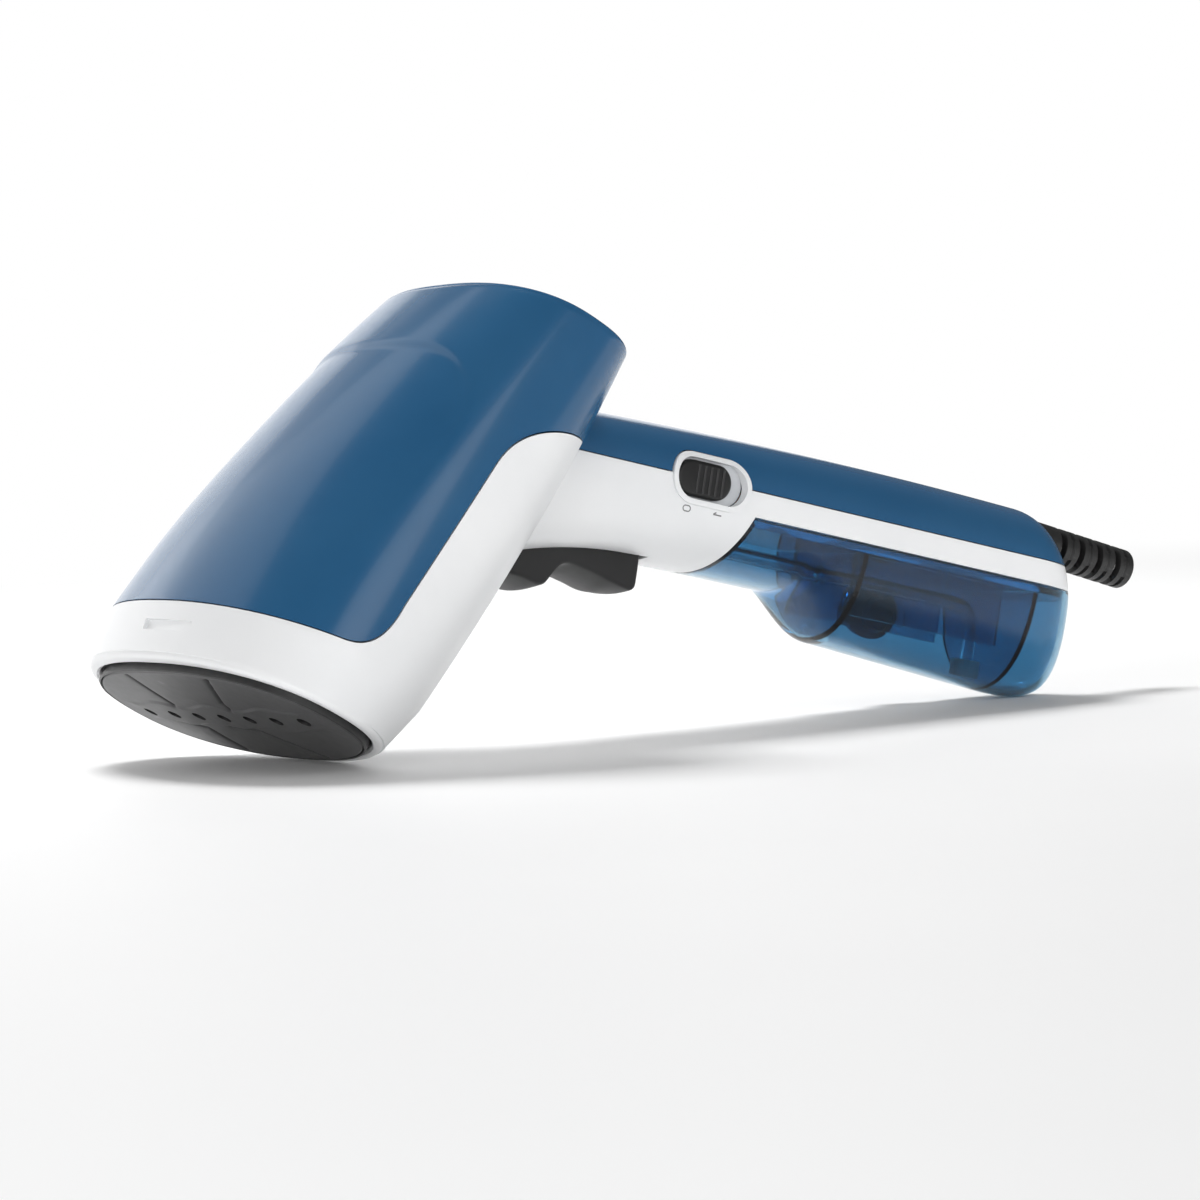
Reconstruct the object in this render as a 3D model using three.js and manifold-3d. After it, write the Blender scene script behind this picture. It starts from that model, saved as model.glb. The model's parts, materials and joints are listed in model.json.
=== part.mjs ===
// Handheld garment steamer, resting on its soleplate's lower rim and its tank's heel.
// Millimetres, +Z up. Three frames are used:
//   root    x along the surface towards the cord, y to the far side, origin under the middle;
//   handle  x along the handle towards the cord, z up from the handle's top at the neck;
//   head    z is the height behind the soleplate's face, x its short way, towards the handle.
import * as THREE from 'three';
import { mergeVertices } from 'three/addons/utils/BufferGeometryUtils.js';
import Module from 'manifold-3d';

const wasm = await Module();
wasm.setup();

// ---------------------------------------------------------------- driving dimensions
const GAP = 0.3;                 // clearance between neighbouring pieces
const WALL = 2;                  // moulded shells
const TANK_WALL = 1.6;

const HEAD_POSITION = [-90.6, 0, -92.3];   // centre of the soleplate's face, handle frame
const HEAD_TILT = THREE.MathUtils.degToRad(18.3);
const HEAD_SIDES = 28;           // points round a head section
const HEAD_RING_TOP = 16;        // height of the white front ring
const HEAD_TOP = 121.5;          // height of the rear rim
const HEAD_DOME = 4;             // crown of the rear cap
const HEAD_HALF_WIDTH = 53.5;
const HEAD_HALF_DEPTH = 31.6;
const BEZEL_FRONT = 1.6;

const SOLE_HALF_WIDTH = 50;
const SOLE_HALF_DEPTH = 22.8;
const SOLE_POWER = 2.33;
const SOLE_CROWN = 1;
const STEAM_HOLES = 7;
const STEAM_HOLE_PITCH = 12.56;
const STEAM_HOLE_RADIUS = 1.8;
const STEAM_ROW_OFFSET = -0.7;

const HANDLE_SIDES = 24;         // points round a handle section
const HANDLE_FRONT = -34;
const HANDLE_END = 159.7;
const HANDLE_ROUND_FROM = 137.5;
const HANDLE_HALF_WIDTH = 21;
const HANDLE_LEVEL = -16.5;      // height of the widest line
const HANDLE_END_LEVEL = -39;    // height of the rounded end's tip
const HANDLE_POWER = 2.3;
const END_POWER_ABOVE = 2;       // squareness of the rounded end, seen from the side
const END_POWER_BELOW = 3;
const COVER_SEAM = -13.3;        // blue cover above, white body below
const TANK_SEAM = -19.8;         // white body above, tank below
const NECK_BOTTOM = -35.4;
const NECK_FLARE = 4.6;
const NECK_FLARE_FROM = 12;
const NECK_FLARE_LENGTH = 33;
const NECK_SQUARENESS = 1.2;     // how much flatter the underside is beside the trigger
const TANK_STEP_START = 62.5;
const TANK_STEP_LENGTH = 18;
const TANK_STEP_DROP = 11;
const TANK_HEEL_SLOPE = 0.055;
const TANK_FRONT_TOP = 40.7;     // the tank's front joint leans forwards on its way down
const TANK_FRONT_BOTTOM = 34.1;
const NECK_END = 33.4;           // how deep the neck reaches into the head, head frame x

const SWITCH_CENTRE = [25.6, -13.4];       // x, z of the slide switch's recess
const SWITCH_RECESS = [22, 10.8];          // length, height
const SWITCH_RIM = 1.4;
const SWITCH_RIM_PROUD = 0.6;
const SLIDER_SIZE = [17, 9.2];
const SLIDER_START = 14.9;
const SLIDER_OUT = 21.5;

const TRIGGER_HALF_WIDTH = 11;
const TRIGGER_CROWN = 5;
const CROWN_SLOPE = 0.4;
const TRIGGER_PIVOT = [-16, -31];
const TRIGGER_PIN_RADIUS = 1.5;

const RELIEF_AXIS = -6.2;        // height of its axis at RELIEF_DATUM
const RELIEF_DATUM = 160;
const RELIEF_DROOP = 3.3;        // degrees
const RELIEF_RADIUS = 5.55;
const RELIEF_TAIL = 4.4;         // radius of the tail inside the handle
const RELIEF_BORE = 3.4;
const RELIEF_START = 138;
const RELIEF_TAIL_LENGTH = 6;
const RELIEF_END = 185.4;
const RELIEF_GROOVE_FROM = 157.8;
const RELIEF_GROOVE_PITCH = 6.8;
const CLAMP_X = 141;

const FILLER_CENTRE = [112, -33.4];
const FILLER_SEAT = 18.4;        // y of the plug's flat seat
const FILLER_RADIUS = 8.2;

const BULKHEAD_FRONT = 79;       // the water chamber lies between the two bulkheads
const BULKHEAD_BACK = 138.2;
const TANK_TOP = TANK_SEAM - GAP;
const TANK_BACK = HANDLE_END;
const LID_THICKNESS = 2;
const BAFFLE_Y = [12.2, 13.8];    // two walls hang from the lid to calm the water
const BAFFLE_FOOT = -38;
const COUPLING_LEVEL = -27.5;

const BOILER_FRONT = 10.4;
const BOILER_TOP = 30;
const CHASSIS_LEVEL = 42;
const ELEMENT_RADIUS = 3.2;
const ELEMENT_LEG = 13.2;        // x of each straight leg
const ELEMENT_LEVEL = 28.5;
const ELEMENT_OPEN_END = 28;     // y where the legs turn up into their terminals
const PUMP_CENTRE = [10, 0, 86];
const PUMP_RADIUS = 10.5;
const INLET_OFFSET = 4.5;        // y of the pump's inlet

const BOILER_SCREW_Y = [-28.5, 28.5];
const STANDOFF_Y = [-40.5, 40.5];
const NECK_SCREW_Y = [-16, 16];
const NECK_SCREW_LEVEL = 90;
const COVER_SCREW_X = [62, 132];
const CLAMP_SCREW_Y = [-6.4, 6.4];

// Cutting zones reach well past the steamer on every side.
const FAR_FRONT = -90;
const FAR_BACK = 200;
const ACROSS = [-40, 40];

// ---------------------------------------------------------------- materials
function finish(color, roughness, metalness = 0, opacity = 1) {
  const transparent = opacity < 1;
  return new THREE.MeshStandardMaterial({ color, roughness, metalness, opacity, transparent });
}

const BLUE = finish(0x2d5a84, 0.25);
const WHITE = finish(0xf0f0f0, 0.4);
const BLACK = finish(0x262626, 0.5);
const GREY = finish(0xc9ccd0, 0.5);
const SOLE = finish(0x55585b, 0.45, 0.6);
const TANK = finish(0x356b99, 0.08, 0, 0.6);
const TUBE = finish(0xb9d2de, 0.4);
const CAST = finish(0xa3a6a8, 0.5, 0.9);
const STEEL = finish(0xc2c4c6, 0.3, 1);
const SILICONE = finish(0xb5482f, 0.7);
const BOARD = finish(0x2f6b3c, 0.6);
const DARK = finish(0x3a3a3c, 0.6);

// ---------------------------------------------------------------- making solids
function toSolid(geometry) {
  const bare = geometry.clone();
  bare.deleteAttribute('normal');
  bare.deleteAttribute('uv');
  const merged = mergeVertices(bare, 1e-4);
  return new wasm.Manifold(new wasm.Mesh({
    numProp: 3,
    vertProperties: new Float32Array(merged.attributes.position.array),
    triVerts: new Uint32Array(merged.index.array),
  }));
}

function toGeometry(solid) {
  const mesh = solid.getMesh();
  const geometry = new THREE.BufferGeometry();
  geometry.setAttribute('position', new THREE.BufferAttribute(mesh.vertProperties, 3));
  geometry.setIndex(new THREE.BufferAttribute(mesh.triVerts, 1));
  geometry.computeVertexNormals();
  return geometry;
}

// Closed skin through rings of equally many points, with a flat fan on each end.
function loft(rings) {
  const count = rings[0].length;
  const positions = rings.flat().flatMap((p) => [p.x, p.y, p.z]);
  const index = [];
  for (let r = 0; r + 1 < rings.length; r += 1) {
    for (let k = 0; k < count; k += 1) {
      const a = r * count + k;
      const b = r * count + ((k + 1) % count);
      index.push(a, b, b + count, a, b + count, a + count);
    }
  }
  [rings[0], rings.at(-1)].forEach((ring, side) => {
    const middle = ring.reduce((sum, p) => sum.add(p), new THREE.Vector3()).divideScalar(count);
    const centre = positions.length / 3;
    const first = side * (rings.length - 1) * count;
    positions.push(middle.x, middle.y, middle.z);
    for (let k = 0; k < count; k += 1) {
      const pair = [first + k, first + ((k + 1) % count)];
      index.push(centre, ...(side ? pair : pair.reverse()));
    }
  });
  const geometry = new THREE.BufferGeometry();
  geometry.setAttribute('position', new THREE.Float32BufferAttribute(positions, 3));
  geometry.setIndex(index);
  return toSolid(facingOut(geometry));
}

function facingOut(geometry) {
  const p = geometry.attributes.position;
  const [a, b, c] = [new THREE.Vector3(), new THREE.Vector3(), new THREE.Vector3()];
  const index = geometry.index.array;
  let volume = 0;
  for (let i = 0; i < index.length; i += 3) {
    a.fromBufferAttribute(p, index[i]);
    b.fromBufferAttribute(p, index[i + 1]);
    c.fromBufferAttribute(p, index[i + 2]);
    volume += a.dot(b.cross(c));
  }
  if (volume < 0) geometry.setIndex([...index].reverse());
  return geometry;
}

const signedPower = (value, power) => Math.sign(value) * Math.abs(value) ** power;

// Points round a superellipse, in two coordinates; a half step keeps a flat side at each end.
function oval(halfA, halfB, power, count) {
  return Array.from({ length: count }, (_, k) => {
    const angle = ((k + 0.5) / count) * 2 * Math.PI;
    const a = halfA * signedPower(Math.cos(angle), 2 / power);
    const b = halfB * signedPower(Math.sin(angle), 2 / power);
    return [a, b];
  });
}

const levelRing = (points, x, z) => points.map(([a, b]) => new THREE.Vector3(x + b, a, z));

// Upright oval disc in the head frame, from one height to another.
function ovalDisc(halfWidth, halfDepth, from, to, count = 32, power = SOLE_POWER) {
  const points = oval(halfWidth, halfDepth, power, count);
  return loft([levelRing(points, 0, from), levelRing(points, 0, to)]);
}

function box(x, y, z) {
  const geometry = new THREE.BoxGeometry(x[1] - x[0], y[1] - y[0], z[1] - z[0]);
  geometry.translate((x[0] + x[1]) / 2, (y[0] + y[1]) / 2, (z[0] + z[1]) / 2);
  return toSolid(geometry);
}

const polygon = (points) => new THREE.Shape(points.map((p) => new THREE.Vector2(...p)));

// A side outline in (x, z), given as a shape or a list of points, filled between two y values.
// A crown rounds its edges off over that length at both sides.
function slab(outline, y, crown = 0) {
  const shape = Array.isArray(outline) ? polygon(outline) : outline;
  const geometry = new THREE.ExtrudeGeometry(shape, {
    depth: y[1] - y[0] - 2 * crown, curveSegments: 6, bevelEnabled: crown > 0,
    bevelThickness: crown, bevelSize: crown * CROWN_SLOPE, bevelOffset: -crown * CROWN_SLOPE,
    bevelSegments: 2,
  });
  geometry.rotateX(Math.PI / 2);
  geometry.translate(0, y[1] - crown, 0);
  return toSolid(geometry);
}

// A turned piece: the profile's points are [radius, height]; axis is x, y or z.
function turned(profile, segments, axis, position) {
  const points = profile.map(([radius, height]) => new THREE.Vector2(radius, height));
  const geometry = new THREE.LatheGeometry(points, segments);
  if (axis === 'x') geometry.rotateZ(-Math.PI / 2);
  if (axis === 'z') geometry.rotateX(Math.PI / 2);
  geometry.translate(...position);
  const indexed = mergeVertices(geometry.deleteAttribute('normal').deleteAttribute('uv'), 1e-4);
  return toSolid(facingOut(dropSlivers(indexed)));
}

// A lathe leaves triangles with two equal corners where its profile touches the axis.
function dropSlivers(geometry) {
  const index = geometry.index.array;
  const kept = [];
  for (let i = 0; i < index.length; i += 3) {
    const [a, b, c] = [index[i], index[i + 1], index[i + 2]];
    if (a !== b && b !== c && c !== a) kept.push(a, b, c);
  }
  geometry.setIndex(kept);
  return geometry;
}

function cylinder(radius, from, to, axis, centre, segments = 16) {
  const profile = [[0, from], [radius, from], [radius, to], [0, to]];
  return turned(profile, segments, axis, centre);
}

function tubeAlong(points, outer, inner, steps, sides = 8) {
  const path = new THREE.CatmullRomCurve3(points.map((p) => new THREE.Vector3(...p)));
  const section = new THREE.Shape(circlePoints(outer, sides));
  if (inner) section.holes.push(new THREE.Path(circlePoints(inner, sides).reverse()));
  const geometry = new THREE.ExtrudeGeometry(section, {
    steps, extrudePath: path, bevelEnabled: false, curveSegments: 1,
  });
  return toSolid(geometry);
}

function circlePoints(radius, sides) {
  return Array.from({ length: sides }, (_, k) => {
    const angle = (k / sides) * 2 * Math.PI;
    return new THREE.Vector2(radius * Math.cos(angle), radius * Math.sin(angle));
  });
}

const union = (solids) => solids.reduce((sum, solid) => sum.add(solid));

function piece(group, name, solid, material) {
  const mesh = new THREE.Mesh(toGeometry(solid), material);
  mesh.name = name;
  group.add(mesh);
}

// ---------------------------------------------------------------- groups and frames
const steamer = new THREE.Group();
const handle = new THREE.Group();
const head = new THREE.Group();
head.position.set(...HEAD_POSITION);
head.rotation.y = HEAD_TILT;
handle.add(head);
steamer.add(handle);
head.updateMatrix();

const HEAD_TO_HANDLE = head.matrix.toArray();
const HANDLE_TO_HEAD = head.matrix.clone().invert().toArray();

// ---------------------------------------------------------------- head: two shells
// Half width, half depth and forward lean of the head at a height behind the soleplate.
function headSize(height) {
  if (height < HEAD_RING_TOP) {
    const s = (height - BEZEL_FRONT) / (HEAD_RING_TOP - BEZEL_FRONT);
    return [HEAD_HALF_WIDTH, THREE.MathUtils.lerp(27.7, HEAD_HALF_DEPTH, s), 2 * s - 0.2];
  }
  const s = (height - HEAD_RING_TOP) / (HEAD_TOP - HEAD_RING_TOP);
  const belly = 4 * s * (1 - s);
  return [
    HEAD_HALF_WIDTH - 11.2 * s + 1.1 * belly,
    HEAD_HALF_DEPTH - 9.6 * s + 3 * belly,
    1.8 + 22.1 * s - 0.7 * belly,
  ];
}

function headRing(height, inset, level = height) {
  const [halfWidth, halfDepth, lean] = headSize(height);
  const power = 2.22 + 0.33 * (height / HEAD_TOP);
  const points = oval(halfWidth - inset, halfDepth - inset, power, HEAD_SIDES);
  return levelRing(points, lean, level);
}

function headSolid(inset, from) {
  const heights = [HEAD_RING_TOP, 40, 65, 90, 110];
  const rings = heights.map((height) => headRing(height, inset));
  rings.unshift(headRing(from, inset));
  if (inset === 0) rings.unshift(headRing(BEZEL_FRONT, 1));
  const rim = HEAD_TOP - inset;
  rings.push(headRing(HEAD_TOP, inset, rim - 1));
  rings.push(headRing(HEAD_TOP, inset + 1, rim));
  rings.push(headRing(HEAD_TOP, inset + 12, rim + HEAD_DOME * 0.75));
  return loft(rings);
}

// Everything on the white side of the seam: front ring, side panels and underside.
function lowerHeadZone(shift) {
  const zone = new THREE.Shape();
  zone.moveTo(-70, -10);
  zone.lineTo(-70, 12);
  zone.lineTo(-8, 17.7);
  zone.quadraticCurveTo(1.2, 18.6, 2.6, 32);
  zone.lineTo(11.2, 74);
  zone.bezierCurveTo(13.2, 84.5, 22, 91.5, 38, 95.3);
  zone.lineTo(70, 99);
  zone.lineTo(70, -10);
  return slab(zone, [-70, 70]).translate([shift, 0, -shift]);
}

function makeHeadShells() {
  const neckOpening = handleSolid(-GAP, HANDLE_FRONT, 30).transform(HANDLE_TO_HEAD);
  const inside = headSolid(WALL + 0.2, 5);
  const mouth = ovalDisc(50.9, 23.7, -5, 8, HEAD_SIDES);
  const shell = headSolid(0, 3).subtract(inside).subtract(mouth).subtract(neckOpening);
  const accessoryNotch = box([-40, -27.4], [-18, 3], [8.4, 11]);
  const lower = shell.intersect(lowerHeadZone(GAP / 2)).subtract(accessoryNotch);
  piece(head, 'head_top_shell', shell.subtract(lowerHeadZone(-GAP / 2)), BLUE);
  piece(head, 'head_lower_shell', lower, WHITE);
}

// ---------------------------------------------------------------- head: soleplate and boiler
function makeSoleplate() {
  const outline = (scale, z) => levelRing(
    oval(SOLE_HALF_WIDTH * scale, SOLE_HALF_DEPTH * scale, SOLE_POWER, HEAD_SIDES), 0, z);
  const crown = [0.98, 0.8, 0.5, 0.2].map((scale) => outline(scale, -SOLE_CROWN * (1 - scale ** 2)));
  const plate = loft([outline(1, 1.2), outline(1, 0.3), ...crown]);
  const foot = ovalDisc(46, 18.8, 1, 10);
  const holes = Array.from({ length: STEAM_HOLES }, (_, k) => cylinder(
    STEAM_HOLE_RADIUS, -5, 15, 'z',
    [STEAM_ROW_OFFSET, (k - (STEAM_HOLES - 1) / 2) * STEAM_HOLE_PITCH, 0], 10));
  piece(head, 'soleplate', union([plate, foot]).subtract(union(holes)), SOLE);

  const ring = (grow, z) => levelRing(
    oval(SOLE_HALF_WIDTH + grow, SOLE_HALF_DEPTH + grow, SOLE_POWER, HEAD_SIDES), 0, z);
  const collar = loft([ring(-0.3, 1.2 + GAP), ring(0.5, 2.6), ring(0.5, 5), ring(-1, 6), ring(-1, 9.6)]);
  piece(head, 'soleplate_ring', collar.subtract(ovalDisc(46.4, 19.2, 0, 12)), BLACK);
}

// U-shaped tubular heater lying in the boiler's back, with its terminals turned up.
function heaterPath() {
  const arc = [-90, -45, 0, 45, 90].map((degrees) => {
    const angle = THREE.MathUtils.degToRad(degrees);
    return [ELEMENT_LEG * Math.sin(angle), -20 - ELEMENT_LEG * Math.cos(angle), ELEMENT_LEVEL];
  });
  const leg = (x) => [
    [x, 0, ELEMENT_LEVEL], [x, ELEMENT_OPEN_END - 13, ELEMENT_LEVEL],
    [x, ELEMENT_OPEN_END - 5.5, ELEMENT_LEVEL + 1.4], [x, ELEMENT_OPEN_END - 1, ELEMENT_LEVEL + 5.5],
    [x, ELEMENT_OPEN_END, ELEMENT_LEVEL + 10],
  ];
  return [...leg(-ELEMENT_LEG).reverse(), ...arc, ...leg(ELEMENT_LEG)];
}

function makeBoiler() {
  const chamber = ovalDisc(22, 6.5, BOILER_FRONT + 3, BOILER_TOP + 5, 24);
  const ports = [-10, 0, 10].map((y) => cylinder(1.6, 0, 20, 'z', [0, y, 0], 8));
  const groove = tubeAlong(heaterPath(), ELEMENT_RADIUS + 0.5, 0, 30, 8);
  const pilots = BOILER_SCREW_Y.map((y) => cylinder(1.4, 20, 40, 'z', [0, y, 0], 8));
  const pins = STANDOFF_Y.map((y) => cylinder(1.8, 24, 40, 'z', [0, y, 0], 8));
  const body = ovalDisc(45, 18, BOILER_FRONT, BOILER_TOP);
  const hollows = union([chamber, ...ports, groove, ...pilots, ...pins]);
  piece(head, 'boiler_body', body.subtract(hollows), CAST);
  piece(head, 'heating_element', tubeAlong(heaterPath(), ELEMENT_RADIUS, 0, 30, 8), STEEL);

  const gasketTop = BOILER_TOP + 1.2;
  const gasket = ovalDisc(25, 9.2, BOILER_TOP + GAP, gasketTop, 24);
  piece(head, 'boiler_gasket', gasket.subtract(ovalDisc(22.6, 7, 25, 35, 24)), SILICONE);

  const coverBottom = gasketTop + GAP;
  const coverTop = coverBottom + 2.6;
  const screwHoles = BOILER_SCREW_Y.map((y) => cylinder(1.7, 20, 40, 'z', [0, y, 0], 8));
  const spigot = cylinder(1.6, coverBottom + 1, coverTop + 9, 'z', [0, 0, 0], 8);
  const bore = cylinder(0.9, 20, 60, 'z', [0, 0, 0], 8);
  const cover = union([ovalDisc(32.5, 9.4, coverBottom, coverTop, 28), spigot]);
  piece(head, 'boiler_cover', cover.subtract(union([bore, ...screwHoles])), CAST);

  BOILER_SCREW_Y.forEach((y, k) => {
    const screw = screwProfile(1.1, 2.6, coverTop + GAP, -11);
    piece(head, `boiler_screw_${k + 1}`, turned(screw, 12, 'z', [0, y, 0]), STEEL);
  });
  const thermostat = [[0, 0], [7, 0], [7, 3.5], [5.5, 6], [0, 6]];
  piece(head, 'thermostat', turned(thermostat, 18, 'z', [0, 14.5, coverTop + GAP]), BLACK);
  const fuse = cylinder(2, -7, 7, 'x', [0, -14, coverTop + 2.4], 12);
  piece(head, 'thermal_fuse', fuse, GREY);
}

// Screw along its axis: head seated at a height, shank reaching away from it by a signed length.
function screwProfile(shank, headRadius, seat, reach) {
  const top = seat - Math.sign(reach) * 1.8;
  return [[0, seat + reach], [shank, seat + reach], [shank, seat], [headRadius, seat],
    [headRadius, top], [0, top]];
}

function makeChassis() {
  const plateTop = CHASSIS_LEVEL + 2.5;
  const foot = box([-9, 33], [-44, 44], [CHASSIS_LEVEL, plateTop]);
  const window = box([-6, 21], [-35, 35], [CHASSIS_LEVEL - 5, plateTop + 5]);
  const spine = box([30.5, 33], [-19, 19], [CHASSIS_LEVEL, 108]);
  const cableWay = box([20, 40], [-11, 11], [64, 98]);
  const drill = [...STANDOFF_Y.map((y) => cylinder(1.8, 30, 60, 'z', [0, y, 0], 8)),
    ...NECK_SCREW_Y.map((y) => cylinder(1.8, 20, 45, 'x', [0, y, NECK_SCREW_LEVEL], 10))];
  const frame = union([foot, spine]).subtract(union([window, cableWay, ...drill]));
  piece(head, 'head_chassis', frame.intersect(headSolid(WALL + 0.6, 20)), DARK);

  STANDOFF_Y.forEach((y, k) => {
    const collar = [[0, 24.5], [1.5, 24.5], [1.5, BOILER_TOP + GAP], [3, BOILER_TOP + GAP],
      [3, CHASSIS_LEVEL - GAP], [0, CHASSIS_LEVEL - GAP]];
    const pilot = cylinder(1.35, 36, 50, 'z', [0, y, 0], 8);
    piece(head, `standoff_${k + 1}`, turned(collar, 14, 'z', [0, y, 0]).subtract(pilot), CAST);
    const screw = turned(screwProfile(1.05, 2.8, plateTop + GAP, -6.5), 12, 'z', [0, y, 0]);
    piece(head, `chassis_screw_${k + 1}`, screw, STEEL);
  });
  NECK_SCREW_Y.forEach((y, k) => {
    const screw = turned(screwProfile(1.1, 2.8, 30.5 - GAP, 11), 12, 'x', [0, y, NECK_SCREW_LEVEL]);
    piece(head, `neck_screw_${k + 1}`, screw, STEEL);
  });
}

function makePump() {
  const body = turned([[0, -17], [PUMP_RADIUS, -17], [PUMP_RADIUS, 17], [0, 17]], 24, 'y', PUMP_CENTRE);
  const inlet = cylinder(1.6, 5, 17.5, 'x', [PUMP_CENTRE[0], INLET_OFFSET, PUMP_CENTRE[2]], 8);
  const outlet = cylinder(1.6, -23.5, -16, 'y', PUMP_CENTRE, 8);
  piece(head, 'pump', union([body, inlet, outlet]), DARK);
  [-11, 11].forEach((y, k) => {
    const inner = PUMP_RADIUS + GAP;
    const outer = inner + 2.2;
    const band = [[inner, -2.5], [outer, -2.5], [outer, 2.5], [inner, 2.5], [inner, -2.5]];
    const [x, , z] = PUMP_CENTRE;
    piece(head, `pump_mount_${k + 1}`, turned(band, 24, 'y', [x, y, z]), SILICONE);
  });
  const toBoiler = [[10, -18.5, 86], [10, -22.5, 86], [10, -26.5, 85.5], [6, -33, 77],
    [0, -24, 66], [0, -6, 56], [0, 0, 49], [0, 0, 38]];
  piece(head, 'boiler_hose', tubeAlong(toBoiler, 3.2, 2.2, 18, 6), TUBE);
}

// ---------------------------------------------------------------- handle: shape
const handleTop = (x) => 6.8 * (x / 160) - 6.2 * (x / 160) ** 2;

// The neck deepens towards the head, and the tank steps down behind the finger grip.
function handleBottom(x) {
  const s = THREE.MathUtils.smoothstep(x, TANK_STEP_START, TANK_STEP_START + TANK_STEP_LENGTH);
  const heel = TANK_HEEL_SLOPE * Math.max(0, x - TANK_STEP_START - TANK_STEP_LENGTH);
  const flare = NECK_FLARE * (Math.max(0, NECK_FLARE_FROM - x) / NECK_FLARE_LENGTH) ** 2;
  return NECK_BOTTOM - TANK_STEP_DROP * s - heel - flare;
}

// One section: different curves above and below the widest line, shrinking at the rounded end.
function handleRing(x, inset) {
  const length = HANDLE_END - inset - HANDLE_ROUND_FROM;
  const along = THREE.MathUtils.clamp((x - HANDLE_ROUND_FROM) / length, 0, 1);
  const shrink = (z, power = END_POWER_ABOVE) => HANDLE_END_LEVEL
    + (z - HANDLE_END_LEVEL) * (1 - along ** power) ** (1 / power);
  const flat = NECK_SQUARENESS * (1 - THREE.MathUtils.smoothstep(x, 8, 32));
  const level = shrink(HANDLE_LEVEL);
  const up = shrink(handleTop(x) - inset) - level;
  const down = level - shrink(handleBottom(x) + inset, END_POWER_BELOW);
  const halfWidth = (HANDLE_HALF_WIDTH - inset) * (1 - along ** HANDLE_POWER) ** (1 / HANDLE_POWER);
  const above = oval(halfWidth, up, HANDLE_POWER, HANDLE_SIDES);
  const below = oval(halfWidth, down, HANDLE_POWER + flat, HANDLE_SIDES);
  return above.map((point, k) => {
    const [a, b] = point[1] > 0 ? point : below[k];
    return new THREE.Vector3(x, a, level + b);
  });
}

function handleSolid(inset, from, to = HANDLE_END) {
  const stations = [from, -12, 8, 20, 32];
  for (let x = TANK_STEP_START; x <= TANK_STEP_START + TANK_STEP_LENGTH; x += 4.5) stations.push(x);
  stations.push(110, HANDLE_ROUND_FROM);
  const reach = HANDLE_END - inset - HANDLE_ROUND_FROM;
  [0.4, 0.68, 0.86, 0.96].forEach((s) => stations.push(HANDLE_ROUND_FROM + s * reach));
  const used = stations.filter((x) => x >= from && x < to);
  used.push(Math.min(to, HANDLE_ROUND_FROM + 0.999 * reach));
  return loft(used.map((x) => handleRing(x, inset)));
}

// Leaning joint line between neck and tank, in (x, z), moved along x.
function tankJoint(shift, z) {
  const lean = (TANK_FRONT_TOP - TANK_FRONT_BOTTOM) / (TANK_SEAM - NECK_BOTTOM);
  return [TANK_FRONT_TOP + shift + lean * (z - TANK_SEAM), z];
}

function bodyZone() {
  return slab([[FAR_FRONT, COVER_SEAM], [FAR_FRONT, -50], tankJoint(0, -50), tankJoint(0, TANK_SEAM),
    [FAR_BACK, TANK_SEAM], [FAR_BACK, COVER_SEAM]], ACROSS);
}

function bodyHollow() {
  const floor = TANK_SEAM + WALL;
  const zone = slab([[FAR_FRONT, 10], [FAR_FRONT, -50], tankJoint(-WALL, -50), tankJoint(-WALL, floor),
    [FAR_BACK, floor], [FAR_BACK, 10]], ACROSS);
  return zone.intersect(handleSolid(WALL, HANDLE_FRONT - 1));
}

// Side outline of the switch's stadium shape.
function stadium(length, height, [x, z] = SWITCH_CENTRE) {
  const half = length / 2 - height / 2;
  const shape = new THREE.Shape();
  shape.absarc(x + half, z, height / 2, -Math.PI / 2, Math.PI / 2, false);
  shape.absarc(x - half, z, height / 2, Math.PI / 2, (3 * Math.PI) / 2, false);
  return shape;
}

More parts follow.
